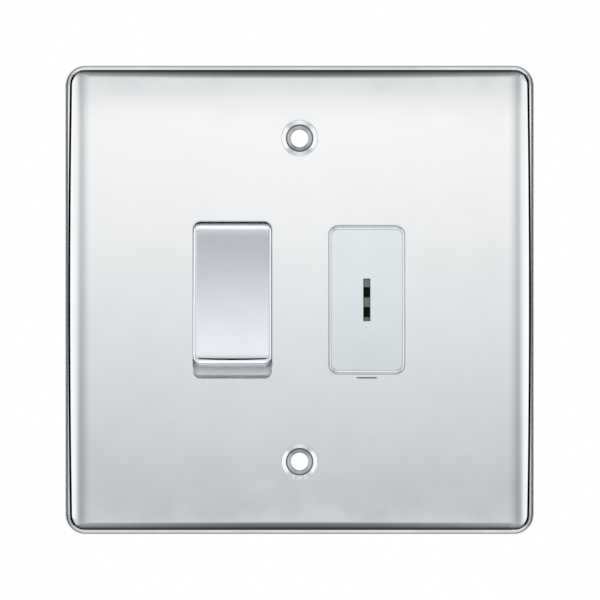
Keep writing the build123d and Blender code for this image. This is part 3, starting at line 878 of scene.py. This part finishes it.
# Gasket
# A ring cut from closed-cell foam that sits inside the plate's rim and seals it to the wall.
# Closed-cell foam: matt black with open cells along the cut.
foam, tree, place = begin_finish("closed_cell_foam")
cells = grain_of(tree, place, 0.5 * MM, 4.0)
end_finish(tree, cells, ("#1b1c1d", "#2b2c2e"), (0.8, 0.95), 0.08 * MM, 0.3 * MM)
dress(foam, "plate_gasket")

# Front plate
# Pressed from one sheet of steel and chrome plated: a thin lip, soft shoulders down both sides, tight
# bends at the two ends, two openings, a release slit and two dished screw holes.
plate_half = 46.5
plate_rise = 4.2
plate_sheet = 1.0
plate_corner = 4.0
lip_rise = 1.2
lip_end_round = 0.32
lip_side_round = 0.55
body_half_width = 45.9
body_half_height = 45.6
body_corner = 2.9
side_bow = 0.4
shoulder_run = 4.4
shoulder_fall = 2.0
shoulder_edge = 1.0
end_bend = 1.7
corner_blend = 4
foot_cut = 0.46
foot_drop = 0.75
rocker_half_width = 7.73
rocker_half_height = 15.475
rocker_corner = 1.5
opening_round = 0.25
cover_gap = 0.04
cover_rim = 0.6
cover_rim_turn = radians(24)
slit_half_width = 1.95
slit_half_height = 0.07
slit_corner = 0.05
slit_round = 0.15
slit_drop = 0.82
screw_z = 32.05
screw_hole = 1.8
cup_ring = 2.73
cup_mouth = 3.65
cup_roll = 0.35
cup_slope = radians(28)
seat_slope = radians(32)
cup_sides = 64
bend_steps = 12
edge_steps = 5
outline_points = 40
same_spot = 1e-5
crease_run = 0.45
crease_edge = 0.1

shoulder_reach = shoulder_run * (shoulder_run - 2 * shoulder_edge) + shoulder_fall**2
shoulder_radius = shoulder_reach / (2 * (shoulder_fall - shoulder_edge))
shoulder_turn = atan2(shoulder_run - shoulder_edge, shoulder_radius - shoulder_fall)


def side_drop(across, inset):
    """Fall of the side shoulder and its tilt, at a distance across from the middle of the plate."""
    past = abs(across) - (body_half_width - inset - shoulder_run)
    if past <= 0:
        return 0.0, 0.0
    if past <= shoulder_radius * sin(shoulder_turn):
        tilt = asin(past / shoulder_radius)
        return shoulder_radius * (1 - cos(tilt)), tilt
    tilt = asin(min(1.0, (past - shoulder_run + shoulder_edge) / shoulder_edge))
    return shoulder_fall - shoulder_edge * cos(tilt), tilt


def end_drop(up, inset):
    """Fall of the bend at an end and its tilt, at a distance up from the middle of the plate."""
    bend = end_bend - inset
    past = abs(up) - (body_half_height - inset - bend)
    if past <= 0:
        return 0.0, 0.0
    tilt = asin(min(1.0, past / bend))
    return bend * (1 - cos(tilt)), tilt


def face_fall(x, z, inset):
    """Fall of the pressed face at a spot and its normal there, with shoulders and bends run together."""
    side, side_tilt = side_drop(x, inset)
    end, end_tilt = end_drop(z, inset)
    fall = (side**corner_blend + end**corner_blend) ** (1 / corner_blend)
    if not fall:
        return 0.0, FRONT
    lean_x = (side / fall) ** (corner_blend - 1) * tan(side_tilt) * (1 if x > 0 else -1)
    lean_z = (end / fall) ** (corner_blend - 1) * tan(end_tilt) * (1 if z > 0 else -1)
    return fall, Vector((lean_x, lean_z, 1.0)).normalized()


def body_outline(inset):
    """Outline of the raised body: straight ends, slightly bowed sides and round corners."""
    half_height = body_half_height - inset
    loop = []
    for point, out in rounded_loop(body_half_width - inset, half_height, body_corner - inset, outline_points):
        bow = side_bow * (point.y / half_height) ** 2
        loop.append(Vector((point.x - bow * (1 if point.x > 0 else -1), point.y)))
    return loop


def circle(centre, radius):
    """Points of a round hole."""
    turns = [2 * pi * side / cup_sides for side in range(cup_sides)]
    return [Vector((centre[0] + radius * cos(turn), centre[1] + radius * sin(turn))) for turn in turns]


def inside(loop, point):
    """Whether a point lies inside a closed loop."""
    odd = False
    for here, after in zip(loop, loop[1:] + loop[:1]):
        if (here.y > point.y) != (after.y > point.y):
            cross = here.x + (point.y - here.y) / (after.y - here.y) * (after.x - here.x)
            odd ^= point.x < cross
    return odd


def fold_lines(inset):
    """Lines along the shoulders and bends."""
    bend = end_bend - inset
    overhang = plate_half
    side_inner = body_half_width - inset - shoulder_run
    end_inner = body_half_height - inset - bend
    tilts = [shoulder_turn * step / bend_steps for step in range(bend_steps + 1)]
    across = [side_inner + shoulder_radius * sin(tilt) for tilt in tilts]
    edge_centre = body_half_width - inset - shoulder_edge
    for step in range(1, bend_steps):
        tilt = shoulder_turn + (pi / 2 - shoulder_turn) * step / bend_steps
        across.append(edge_centre + shoulder_edge * sin(tilt))
    up = [end_inner + bend * sin(pi / 2 * step / bend_steps) for step in range(bend_steps)]
    lines = []
    for sign in (1, -1):
        lines += [[Vector((sign * x, -overhang)), Vector((sign * x, overhang))] for x in across]
        lines += [[Vector((-overhang, sign * z)), Vector((overhang, sign * z))] for z in up]
    return lines


def pressed_skin(shell, inset, trim, holes):
    """Add one skin of the sheet, set in from the front and trimmed. Returns its rim and its hole loops."""
    outline = body_outline(inset + trim)
    points = []
    edges = []
    for loop in [outline] + holes:
        first = len(points)
        points += loop
        edges += [(first + at, first + (at + 1) % len(loop)) for at in range(len(loop))]
    for line in fold_lines(inset):
        first = len(points)
        points += line
        edges += [(first + at, first + at + 1) for at in range(len(line) - 1)]
    flat, _, triangles, sources, _, _ = delaunay_2d_cdt(points, edges, [], 0, same_spot)
    kept = []
    for triangle in triangles:
        middle = sum((flat[at] for at in triangle), Vector((0.0, 0.0))) / 3
        if inside(outline, middle) and not any(inside(hole, middle) for hole in holes):
            kept.append(triangle)
    number = {}
    leans = {}
    for triangle in kept:
        for at in triangle:
            if at not in number:
                x, z = flat[at]
                fall, normal = face_fall(x, z, inset)
                number[at] = shell.ring([(x, z, plate_rise - inset - fall)])[0]
                leans[at] = normal
    open_edges = {}
    for triangle in kept:
        shell.face([number[at] for at in triangle], [leans[at] for at in triangle])
        for here, after in zip(triangle, triangle[1:] + triangle[:1]):
            if (after, here) in open_edges:
                del open_edges[(after, here)]
            else:
                open_edges[(here, after)] = True
    follows = {here: after for here, after in open_edges}
    made_from = {source: at for at, found in enumerate(sources) for source in found}
    rim = [made_from[0]]
    while follows[rim[-1]] != rim[0]:
        rim.append(follows[rim[-1]])
    hole_rings = []
    first = len(outline)
    for hole in holes:
        hole_rings.append([number[made_from[first + at]] for at in range(len(hole))])
        first += len(hole)
    return [flat[at].copy() for at in rim], [number[at] for at in rim], hole_rings


def rim_reach(point, out):
    """Where a line outward from a point meets the plate's edge, and the outward direction there."""
    straight = plate_half - plate_corner
    low, high = 0.0, plate_corner
    for halving in range(40):
        middle = (low + high) / 2
        spot = point + out * middle
        beyond = Vector((max(abs(spot.x) - straight, 0.0), max(abs(spot.y) - straight, 0.0)))
        if beyond.length > plate_corner:
            high = middle
        else:
            low = middle
    away = Vector((beyond.x * (1 if spot.x > 0 else -1), beyond.y * (1 if spot.y > 0 else -1)))
    return spot, away.normalized()


rocker_x = pivot.x / MM
cover_x = key_x / MM
slit_z = -cover_half_height - slit_drop
openings = (
    (rocker_x, 0.0, rocker_half_width, rocker_half_height, rocker_corner, opening_round, pi / 2),
    (
        cover_x,
        0.0,
        cover_half_width + cover_gap,
        cover_half_height + cover_gap,
        cover_corner + cover_gap,
        cover_rim,
        cover_rim_turn,
    ),
    (cover_x, slit_z, slit_half_width, slit_half_height, slit_corner, slit_round, pi / 2),
)


def opening(x, z, half_width, half_height, corner, wider):
    """Loop of a rounded opening in the plate, made wider all round."""
    loop = rounded_loop(half_width + wider, half_height + wider, corner + wider)
    return [point + Vector((x, z)) for point, out in loop]


cups = [circle((0.0, end * screw_z), cup_mouth) for end in (1, -1)]
front_loops = [opening(*sizes, edge * sin(edge_turn)) for *sizes, edge, edge_turn in openings]
back_loops = [opening(*sizes, 0.0) for *sizes, edge, edge_turn in openings]

plate = Shell()
rim_points, rim, front_holes = pressed_skin(plate, 0.0, foot_cut, front_loops + cups)
plate.finish = 1
back_points, back_rim, back_holes = pressed_skin(plate, plate_sheet, 0.0, back_loops + cups)
plate.finish = 0

# Steep foot of the body, lip and turned edge, then the flat back of the lip and the inside of the rim.
outs = []
for before, after in zip(rim_points[-1:] + rim_points[:-1], rim_points[1:] + rim_points[:1]):
    along = (after - before).normalized()
    out = Vector((along.y, -along.x))
    outs.append(out if out.dot(before + after) > 0 else -out)
out_normals = [Vector((out.x, out.y, 0.0)) for out in outs]
foot_tilt = atan2(foot_drop, foot_cut)
foot_normals = [out * sin(foot_tilt) + FRONT * cos(foot_tilt) for out in out_normals]
foot_points = [point + out * foot_cut for point, out in zip(rim_points, outs)]
rim_heights = [plate.points[at][2] for at in rim]
steep_foot = plate.ring(
    [(point.x, point.y, height - foot_drop) for point, height in zip(foot_points, rim_heights)]
)
plate.band(rim, steep_foot, foot_normals, foot_normals)
body_foot = plate.ring([(point.x, point.y, lip_rise) for point in foot_points])
plate.band(steep_foot, body_foot, out_normals, out_normals)
reached = []
for point, out in zip(foot_points, outs):
    spot, away = rim_reach(point, out)
    lip_round = lip_end_round + (lip_side_round - lip_end_round) * away.x**2
    reached.append((spot - away * lip_round, away, lip_round))
ring = body_foot
normals = [FRONT] * len(ring)
for step in range(bend_steps + 1):
    plate.finish = 1 if step else 0
    turn = step / bend_steps * pi / 2
    next_normals = [
        Vector((away.x * sin(turn), away.y * sin(turn), cos(turn))) for spot, away, lip_round in reached
    ]
    next_points = [
        Vector((spot.x, spot.y, lip_rise - lip_round)) + lip_round * normal
        for (spot, away, lip_round), normal in zip(reached, next_normals)
    ]
    next_ring = plate.ring(next_points)
    plate.band(ring, next_ring, normals, next_normals)
    ring = next_ring
    normals = next_normals
lip_back = plate.ring([(plate.points[at][0], plate.points[at][1], 0.0) for at in ring])
plate.band(ring, lip_back, normals, normals)
inner_foot = plate.ring([(point.x, point.y, 0.0) for point in back_points])
plate.band(back_rim, inner_foot)
zip_loops(plate, lip_back, inner_foot, -FRONT)

# Cut edges of the openings, each broken by a small radius.
plate.finish = 0
for sizes, front_hole, back_hole in zip(openings, front_holes, back_holes):
    x, z, half_width, half_height, corner, edge, edge_turn = sizes
    loop = rounded_loop(half_width, half_height, corner)
    sides = outward(loop)
    ring = front_hole
    normals = [FRONT] * len(ring)
    for step in range(1, edge_steps + 1):
        turn = edge_turn * step / edge_steps
        next_normals = [FRONT * cos(turn) - side * sin(turn) for side in sides]
        wider = edge * (sin(edge_turn) - sin(turn))
        height = plate_rise - edge * (1 - cos(turn))
        next_points = [
            Vector((point.x + x, point.y + z, height)) + side * wider
            for (point, out), side in zip(loop, sides)
        ]
        next_ring = plate.ring(next_points)
        plate.band(ring, next_ring, normals, next_normals)
        ring = next_ring
        normals = next_normals
    plate.band(ring, back_hole, sides, sides)

# Dished screw holes: the sheet rolls over, runs down a bright cone and ends in a satin seat round the hole.
ring_drop = cup_roll * (1 - cos(cup_slope))
ring_drop += (cup_mouth - cup_roll * sin(cup_slope) - cup_ring) * tan(cup_slope)
seat_drop = ring_drop + (cup_ring - screw_hole) * tan(seat_slope)
slant = plate_sheet * sin(seat_slope)
spokes = [Vector((point.x, point.y, 0.0)) for point in circle((0.0, 0.0), 1.0)]


def cup_level(end, radius, drop):
    """Ring round a screw hole, at one depth below the plate's face."""
    loop = circle((0.0, end * screw_z), radius)
    return plate.ring([(point.x, point.y, plate_rise - drop) for point in loop])


def cup_normals(slope):
    """Normals of a cone that falls towards a screw hole."""
    return [FRONT * cos(slope) - spoke * sin(slope) for spoke in spokes]


for end, front_mouth, back_mouth in zip((1, -1), front_holes[-2:], back_holes[-2:]):
    ring = front_mouth
    normals = [FRONT] * cup_sides
    for step in range(1, edge_steps + 1):
        turn = cup_slope * step / edge_steps
        next_ring = cup_level(end, cup_mouth - cup_roll * sin(turn), cup_roll * (1 - cos(turn)))
        next_normals = cup_normals(turn)
        plate.band(ring, next_ring, normals, next_normals)
        ring = next_ring
        normals = next_normals
    crease_ring = cup_level(end, cup_ring, ring_drop)
    seat = cup_level(end, screw_hole, seat_drop)
    throat = cup_level(end, screw_hole, seat_drop + slant)
    flare = cup_level(end, screw_hole + slant, seat_drop + slant)
    plate.band(ring, crease_ring, normals, normals)
    plate.finish = 1
    plate.band(crease_ring, seat, cup_normals(seat_slope), cup_normals(seat_slope))
    plate.band(seat, throat, cup_normals(pi / 2), cup_normals(pi / 2))
    plate.finish = 0
    plate.band(throat, flare)
    plate.band(flare, back_mouth)

plate_chrome = plated_finish("polished_chrome_on_pressed_sheet", ("#d5d5d4", "#d8d8d7"), (0.02, 0.05))

# Chrome that the buffing mop doesn't reach, on the turned edge and in the two cups: satin and greyer,
# with turned streaks, and with painted shade, darkest in the crease where a cup begins.
EDGE_TONE = 0.6
FAINT_STREAK = 0.55
satin_chrome, tree, place = begin_finish("unbuffed_chrome_with_painted_crease_shade")
spot = add_node(tree, "ShaderNodeSeparateXYZ", {}, {"Vector": place}).outputs
up = add_node(tree, "ShaderNodeMath", {"operation": "ABSOLUTE"}, {0: spot["Z"]}).outputs["Value"]
above = add_node(tree, "ShaderNodeMath", {"operation": "SUBTRACT"}, {0: up, 1: screw_z * MM}).outputs["Value"]
from_cup = add_node(tree, "ShaderNodeCombineXYZ", {}, {"X": spot["X"], "Z": above}).outputs["Vector"]
radius = add_node(tree, "ShaderNodeVectorMath", {"operation": "LENGTH"}, {0: from_cup}).outputs["Value"]
# painted shade: a dark ring painted just inside the crease where each cup begins
crease = add_node(
    tree,
    "ShaderNodeMapRange",
    {"interpolation_type": "SMOOTHSTEP"},
    {
        "Value": radius,
        "From Min": (cup_ring - crease_run) * MM,
        "From Max": (cup_ring - crease_edge) * MM,
        "To Min": 1.0,
        "To Max": 0.0,
    },
).outputs["Result"]
beyond = add_node(
    tree, "ShaderNodeMath", {"operation": "GREATER_THAN"}, {0: radius, 1: cup_mouth * MM}
).outputs["Value"]
turned = add_node(tree, "ShaderNodeCombineXYZ", {}, {"X": radius, "Y": spot["Y"]}).outputs["Vector"]
streaks = grain_of(tree, turned, 0.25 * MM, 2.0)
half_streaks = add_node(
    tree, "ShaderNodeMapRange", {}, {"Value": streaks, "To Min": FAINT_STREAK, "To Max": 1.0}
).outputs["Result"]
in_cup = add_node(
    tree, "ShaderNodeMath", {"operation": "MULTIPLY"}, {0: crease, 1: half_streaks}
).outputs["Value"]
on_edge = add_node(
    tree, "ShaderNodeMath", {"operation": "MULTIPLY"}, {0: beyond, 1: EDGE_TONE}
).outputs["Value"]
shading = add_node(
    tree, "ShaderNodeMath", {"operation": "MAXIMUM"}, {0: in_cup, 1: on_edge}
).outputs["Value"]
end_finish(tree, shading, ("#54575a", "#b9bdc0"), (0.42, 0.3), 0.004 * MM, 0.05 * MM, metallic=1.0)

plate_piece = plate.piece("pressed_front_plate", [plate_chrome, satin_chrome], upright)
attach(plate_piece, FIXED)
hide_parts("front_plate")

# Studio
# A pale floor below the part, a white tent all round with a soft grey band down each side, black cards
# close round the plate, and three soft lamps for the matt surfaces: above, by the camera and behind.
PLATE_MIRROR = 0.67
VIEW_DISTANCE = 1.2
VIEW_WIDTH = 119.1 * MM
VIEW_X = 0.08 * MM
VIEW_Z = -0.02 * MM

scene.view_settings.view_transform = "Standard"
camera_data = bpy.data.cameras.new("front_camera")
camera_data.sensor_width = 36.0
camera_data.lens = camera_data.sensor_width * VIEW_DISTANCE / VIEW_WIDTH
camera = bpy.data.objects.new("front_camera", camera_data)
camera.location = (VIEW_X, -VIEW_DISTANCE - lip_rise * MM, VIEW_Z)
camera.rotation_euler = (pi / 2, 0.0, 0.0)
scene.collection.objects.link(camera)
scene.camera = camera

world = bpy.data.worlds.new("white_tent")
scene.world = world
world.use_nodes = True
tree = world.node_tree
tree.nodes.clear()
direction = add_node(tree, "ShaderNodeTexCoord", {}, {}).outputs["Generated"]
parts = add_node(tree, "ShaderNodeSeparateXYZ", {}, {"Vector": direction}).outputs
toward = add_node(
    tree, "ShaderNodeMath", {"operation": "MULTIPLY"}, {0: parts["Y"], 1: -1.0}
).outputs["Value"]
off_axis = add_node(tree, "ShaderNodeMath", {"operation": "ARCCOSINE"}, {0: toward}).outputs["Value"]
share = add_node(tree, "ShaderNodeMath", {"operation": "DIVIDE"}, {0: off_axis, 1: pi}).outputs["Value"]


def fill_ramp(ramp, stops):
    """Set the stops of a colour ramp from pairs of place and hex colour."""
    while len(ramp.elements) < len(stops):
        ramp.elements.new(1.0)
    for element, (at, colour) in zip(ramp.elements, stops):
        element.position = at
        element.color = linear(colour)


# Tent brightness by degrees away from the camera's axis.
tent_bands = (
    (0, "#e1e5e8"),
    (35, "#e1e5e8"),
    (50, "#f0f2f4"),
    (62, "#fbfcfe"),
    (108, "#f6f8fa"),
    (130, "#cfd3d6"),
    (180, "#b4b8bb"),
)
tent = add_node(tree, "ShaderNodeValToRGB", {}, {"Fac": share})
fill_ramp(tent.color_ramp, [(degrees_off / 180, colour) for degrees_off, colour in tent_bands])

# Tent brightness close to the axis, by where a flat plate mirrors it, in millimetres up from the middle.
axis_span = 50.0
axis_fade = 190.0
axis_close = radians(38)
axis_open = radians(52)
axis_bands = (
    (-49, "#c6cbce"),
    (-46.5, "#e9edef"),
    (-45.5, "#e9edef"),
    (-44.5, "#bcc1c5"),
    (0, "#e3e6e9"),
    (37, "#f9f9fb"),
    (44.5, "#ced2d5"),
    (45.5, "#eef1f3"),
    (46.5, "#eef1f3"),
    (49, "#c2c6c9"),
)
seen_up = add_node(
    tree, "ShaderNodeMath", {"operation": "MULTIPLY"}, {0: parts["Z"], 1: VIEW_DISTANCE / MM}
).outputs["Value"]
axis_share = add_node(
    tree, "ShaderNodeMapRange", {}, {"Value": seen_up, "From Min": -axis_span, "From Max": axis_span}
).outputs["Result"]
axis_tent = add_node(tree, "ShaderNodeValToRGB", {}, {"Fac": axis_share})
fill_ramp(axis_tent.color_ramp, [((up + axis_span) / (2 * axis_span), colour) for up, colour in axis_bands])
near_level = add_node(
    tree,
    "ShaderNodeMapRange",
    {"interpolation_type": "SMOOTHSTEP"},
    {"Value": seen_up, "From Min": axis_span, "From Max": axis_fade, "To Min": 1.0, "To Max": 0.0},
).outputs["Result"]
near_axis = add_node(
    tree,
    "ShaderNodeMapRange",
    {"interpolation_type": "SMOOTHSTEP"},
    {"Value": off_axis, "From Min": axis_close, "From Max": axis_open, "To Min": 1.0, "To Max": 0.0},
).outputs["Result"]
on_axis = add_node(
    tree, "ShaderNodeMath", {"operation": "MULTIPLY"}, {0: near_level, 1: near_axis}
).outputs["Value"]
even_tent = add_node(
    tree,
    "ShaderNodeMixRGB",
    {},
    {"Fac": on_axis, "Color1": tent.outputs["Color"], "Color2": axis_tent.outputs["Color"]},
).outputs["Color"]

# Soft grey bands down both sides of the tent, by degrees to the side.
side_bands = (
    (0, "#ffffff"),
    (4, "#f9f9f9"),
    (15, "#e9eaea"),
    (27, "#ced1d2"),
    (34, "#d5d7d8"),
    (44, "#ffffff"),
)
to_side = add_node(tree, "ShaderNodeMath", {"operation": "ABSOLUTE"}, {0: parts["X"]}).outputs["Value"]
sideways = add_node(tree, "ShaderNodeMath", {"operation": "ARCSINE"}, {0: to_side}).outputs["Value"]
side_share = add_node(
    tree, "ShaderNodeMath", {"operation": "DIVIDE"}, {0: sideways, 1: pi / 2}
).outputs["Value"]
side_tent = add_node(tree, "ShaderNodeValToRGB", {}, {"Fac": side_share})
fill_ramp(side_tent.color_ramp, [(degrees_off / 90, colour) for degrees_off, colour in side_bands])
mirrored = add_node(
    tree,
    "ShaderNodeMixRGB",
    {"blend_type": "MULTIPLY"},
    {"Fac": 1.0, "Color1": even_tent, "Color2": side_tent.outputs["Color"]},
).outputs["Color"]
light_below = 0.25
light_above = 0.6
rays = add_node(tree, "ShaderNodeLightPath", {}, {}).outputs
mirror_light = add_node(tree, "ShaderNodeBackground", {}, {"Color": mirrored, "Strength": 1 / PLATE_MIRROR})
overhead = add_node(
    tree,
    "ShaderNodeMapRange",
    {},
    {"Value": parts["Z"], "From Min": -1.0, "From Max": 1.0, "To Min": light_below, "To Max": light_above},
).outputs["Result"]
soft_light = add_node(tree, "ShaderNodeBackground", {}, {"Color": linear("#fbfcff"), "Strength": overhead})
white = add_node(tree, "ShaderNodeBackground", {}, {"Color": linear("#ffffff"), "Strength": 1.0})
lit = add_node(
    tree,
    "ShaderNodeMixShader",
    {},
    {0: rays["Is Glossy Ray"], 1: soft_light.outputs[0], 2: mirror_light.outputs[0]},
).outputs["Shader"]
seen = add_node(
    tree, "ShaderNodeMixShader", {}, {0: rays["Is Camera Ray"], 1: lit, 2: white.outputs[0]}
).outputs["Shader"]
add_node(tree, "ShaderNodeOutputWorld", {}, {"Surface": seen})

# Cards: black gauze, each seen from one side and only in reflections, close at the back and thinning
# towards the front. They aren't part of the switch: the dark lines at the plate's ends, in its groove and
# on the rocker come from them in the front view. The end cards turn down round the plate's corners.
GAUZE_OPENING = 1.3
gauze, tree, place = begin_finish("black_gauze")
weave = add_node(tree, "ShaderNodeUVMap", {"uv_map": "weave"}, {}).outputs["UV"]
woven = add_node(tree, "ShaderNodeSeparateXYZ", {}, {"Vector": weave}).outputs
opening_up = add_node(
    tree, "ShaderNodeMath", {"operation": "POWER"}, {0: woven["X"], 1: GAUZE_OPENING}
).outputs["Value"]
thinning = add_node(
    tree, "ShaderNodeMath", {"operation": "MULTIPLY"}, {0: opening_up, 1: -1.0}
).outputs["Value"]
closed = add_node(tree, "ShaderNodeMath", {"operation": "EXPONENT"}, {0: thinning}).outputs["Value"]
cover_share = add_node(
    tree, "ShaderNodeMath", {"operation": "MULTIPLY"}, {0: closed, 1: woven["Y"]}
).outputs["Value"]
black = add_node(tree, "ShaderNodeBsdfDiffuse", {}, {"Color": linear("#0c0e0f")}).outputs["BSDF"]
through = add_node(tree, "ShaderNodeBsdfTransparent", {}, {}).outputs["BSDF"]
from_behind = add_node(tree, "ShaderNodeNewGeometry", {}, {}).outputs["Backfacing"]
one_sided = add_node(
    tree, "ShaderNodeMath", {"operation": "SUBTRACT"}, {0: cover_share, 1: from_behind}
).outputs["Value"]
veil = add_node(tree, "ShaderNodeMixShader", {}, {0: one_sided, 1: through, 2: black}).outputs["Shader"]
add_node(tree, "ShaderNodeOutputMaterial", {}, {"Surface": veil})

THIN = 3.0


def card(name, place, rows, weight, back_share=0.0):
    """Hang a card. Its rows give a place along it, its back edge, its close part and its thinning length."""
    points = []
    shares = []
    for along, back, full, length in rows:
        points += [place(along, back), place(along, full), place(along, full + THIN * length)]
        shares += [back_share, 0.0, THIN]
    faces = []
    for row in range(len(rows) - 1):
        for at in range(2):
            first = 3 * row + at
            faces.append((first, first + 1, first + 4, first + 3))
    mesh = bpy.data.meshes.new(name)
    mesh.from_pydata([Vector(point) * MM for point in points], [], faces)
    layer = mesh.uv_layers.new(name="weave")
    for corner in mesh.loops:
        layer.data[corner.index].uv = (shares[corner.vertex_index], weight)
    mesh.materials.append(gauze)
    hung = bpy.data.objects.new(name, mesh)
    hung.visible_camera = False
    hung.visible_diffuse = False
    hung.visible_shadow = False
    scene.collection.objects.link(hung)


def edge_on(depth):
    """How far a card leans out, so that a flat plate mirrors only its edge."""
    return 1 + depth * MM / VIEW_DISTANCE


card_steps = 48
end_weight = 0.97
end_back = 1.25
end_full = 3.0
end_length = 7.0
bow_reach = 40.0
side_weight = 1.0
side_off = 47.2
side_back = 1.25
side_full = 2.4
side_length = 0.15
veil_weight = 0.4
veil_half = 28.0
veil_up = 55.0
veil_back = 42.0
veil_full = 76.0
veil_length = 105.0
strip_weight = 1.0
strip_half = 7.6
strip_down = 15.6
strip_back = 13.0
strip_full = 18.5
strip_curl = 3.0
strip_length = 1.5
end_straight = body_half_width - body_corner
corner_length = body_corner * pi / 2


def along_end(along, depth):
    """Spot on a card that stands along the top of the plate's body and turns down round its corners."""
    turn = max(abs(along) - end_straight, 0.0) / body_corner
    across = min(abs(along), end_straight) + body_corner * sin(turn)
    up = body_half_height - body_corner * (1 - cos(turn))
    return Vector((across * (1 if along > 0 else -1), -depth, up))


end_rows = []
for step in range(card_steps + 1):
    along = (end_straight + corner_length) * (1 - 2 * step / card_steps)
    corner_share = max(abs(along) - end_straight, 0.0) / corner_length
    length = end_length / (1 + (along / bow_reach) ** 2) * (1 - corner_share) + side_length
    end_rows.append((along, end_back, end_full + (side_full - end_full) * corner_share, length))
mirror_down = Vector((1.0, 1.0, -1.0))
side_rows = [(plate_half * side, side_back, side_full, side_length) for side in (-1, 1)]
veil_rows = [(along, veil_back, veil_full, veil_length) for along in (veil_half, -veil_half)]
strip_rows = []
for at in (-1, -0.5, 0, 0.5, 1):
    curl = strip_curl * at**2
    strip_rows.append((rocker_x + strip_half * at, strip_back + curl, strip_full + curl, strip_length))
card("upper_card", along_end, end_rows, end_weight)
card("lower_card", lambda along, depth: along_end(along, depth) * mirror_down, end_rows[::-1], end_weight)
card("left_card", lambda along, depth: (-side_off, -depth, along), side_rows[::-1], side_weight)
card("right_card", lambda along, depth: (side_off, -depth, along), side_rows, side_weight)
card("upper_veil", lambda along, depth: (along, -depth, veil_up), veil_rows, veil_weight, THIN)
card(
    "rocker_strip",
    lambda along, depth: (along, -depth, -strip_down * edge_on(depth)),
    strip_rows,
    strip_weight,
)

# Floor: pale matt card, white where the light is full and greyer in the part's shadow.
floor_card, tree, place = begin_finish("pale_floor")
fibre = grain_of(tree, place, 2.0 * MM, 3.0)
end_finish(tree, fibre, ("#f2f2f1", "#f5f5f4"), (0.9, 1.0), 0.01 * MM, 0.1 * MM)
floor_half = 1.6
floor_behind = 0.35
floor_low = -0.1
mesh = bpy.data.meshes.new("floor")
corners = (
    (-floor_half, -floor_half),
    (floor_half, -floor_half),
    (floor_half, floor_behind),
    (-floor_half, floor_behind),
)
mesh.from_pydata([(x, y, floor_low) for x, y in corners], [], [(0, 1, 2, 3)])
mesh.materials.append(floor_card)
floor = bpy.data.objects.new("floor", mesh)
floor.visible_glossy = False
scene.collection.objects.link(floor)

lamps = (
    ("soft_lamp", (-0.6, -0.9, 1.1), 0.8, 8.0),
    ("camera_lamp", (0.0, -1.3, 0.1), 0.45, 13.0),
    ("rear_lamp", (0.7, 1.1, 0.7), 0.8, 10.0),
)
for name, spot, size, energy in lamps:
    lamp_data = bpy.data.lights.new(name, "AREA")
    lamp_data.size = size
    lamp_data.energy = energy
    lamp = bpy.data.objects.new(name, lamp_data)
    lamp.location = spot
    lamp.rotation_euler = (-lamp.location).to_track_quat("-Z", "Y").to_euler()
    lamp.visible_glossy = False
    scene.collection.objects.link(lamp)
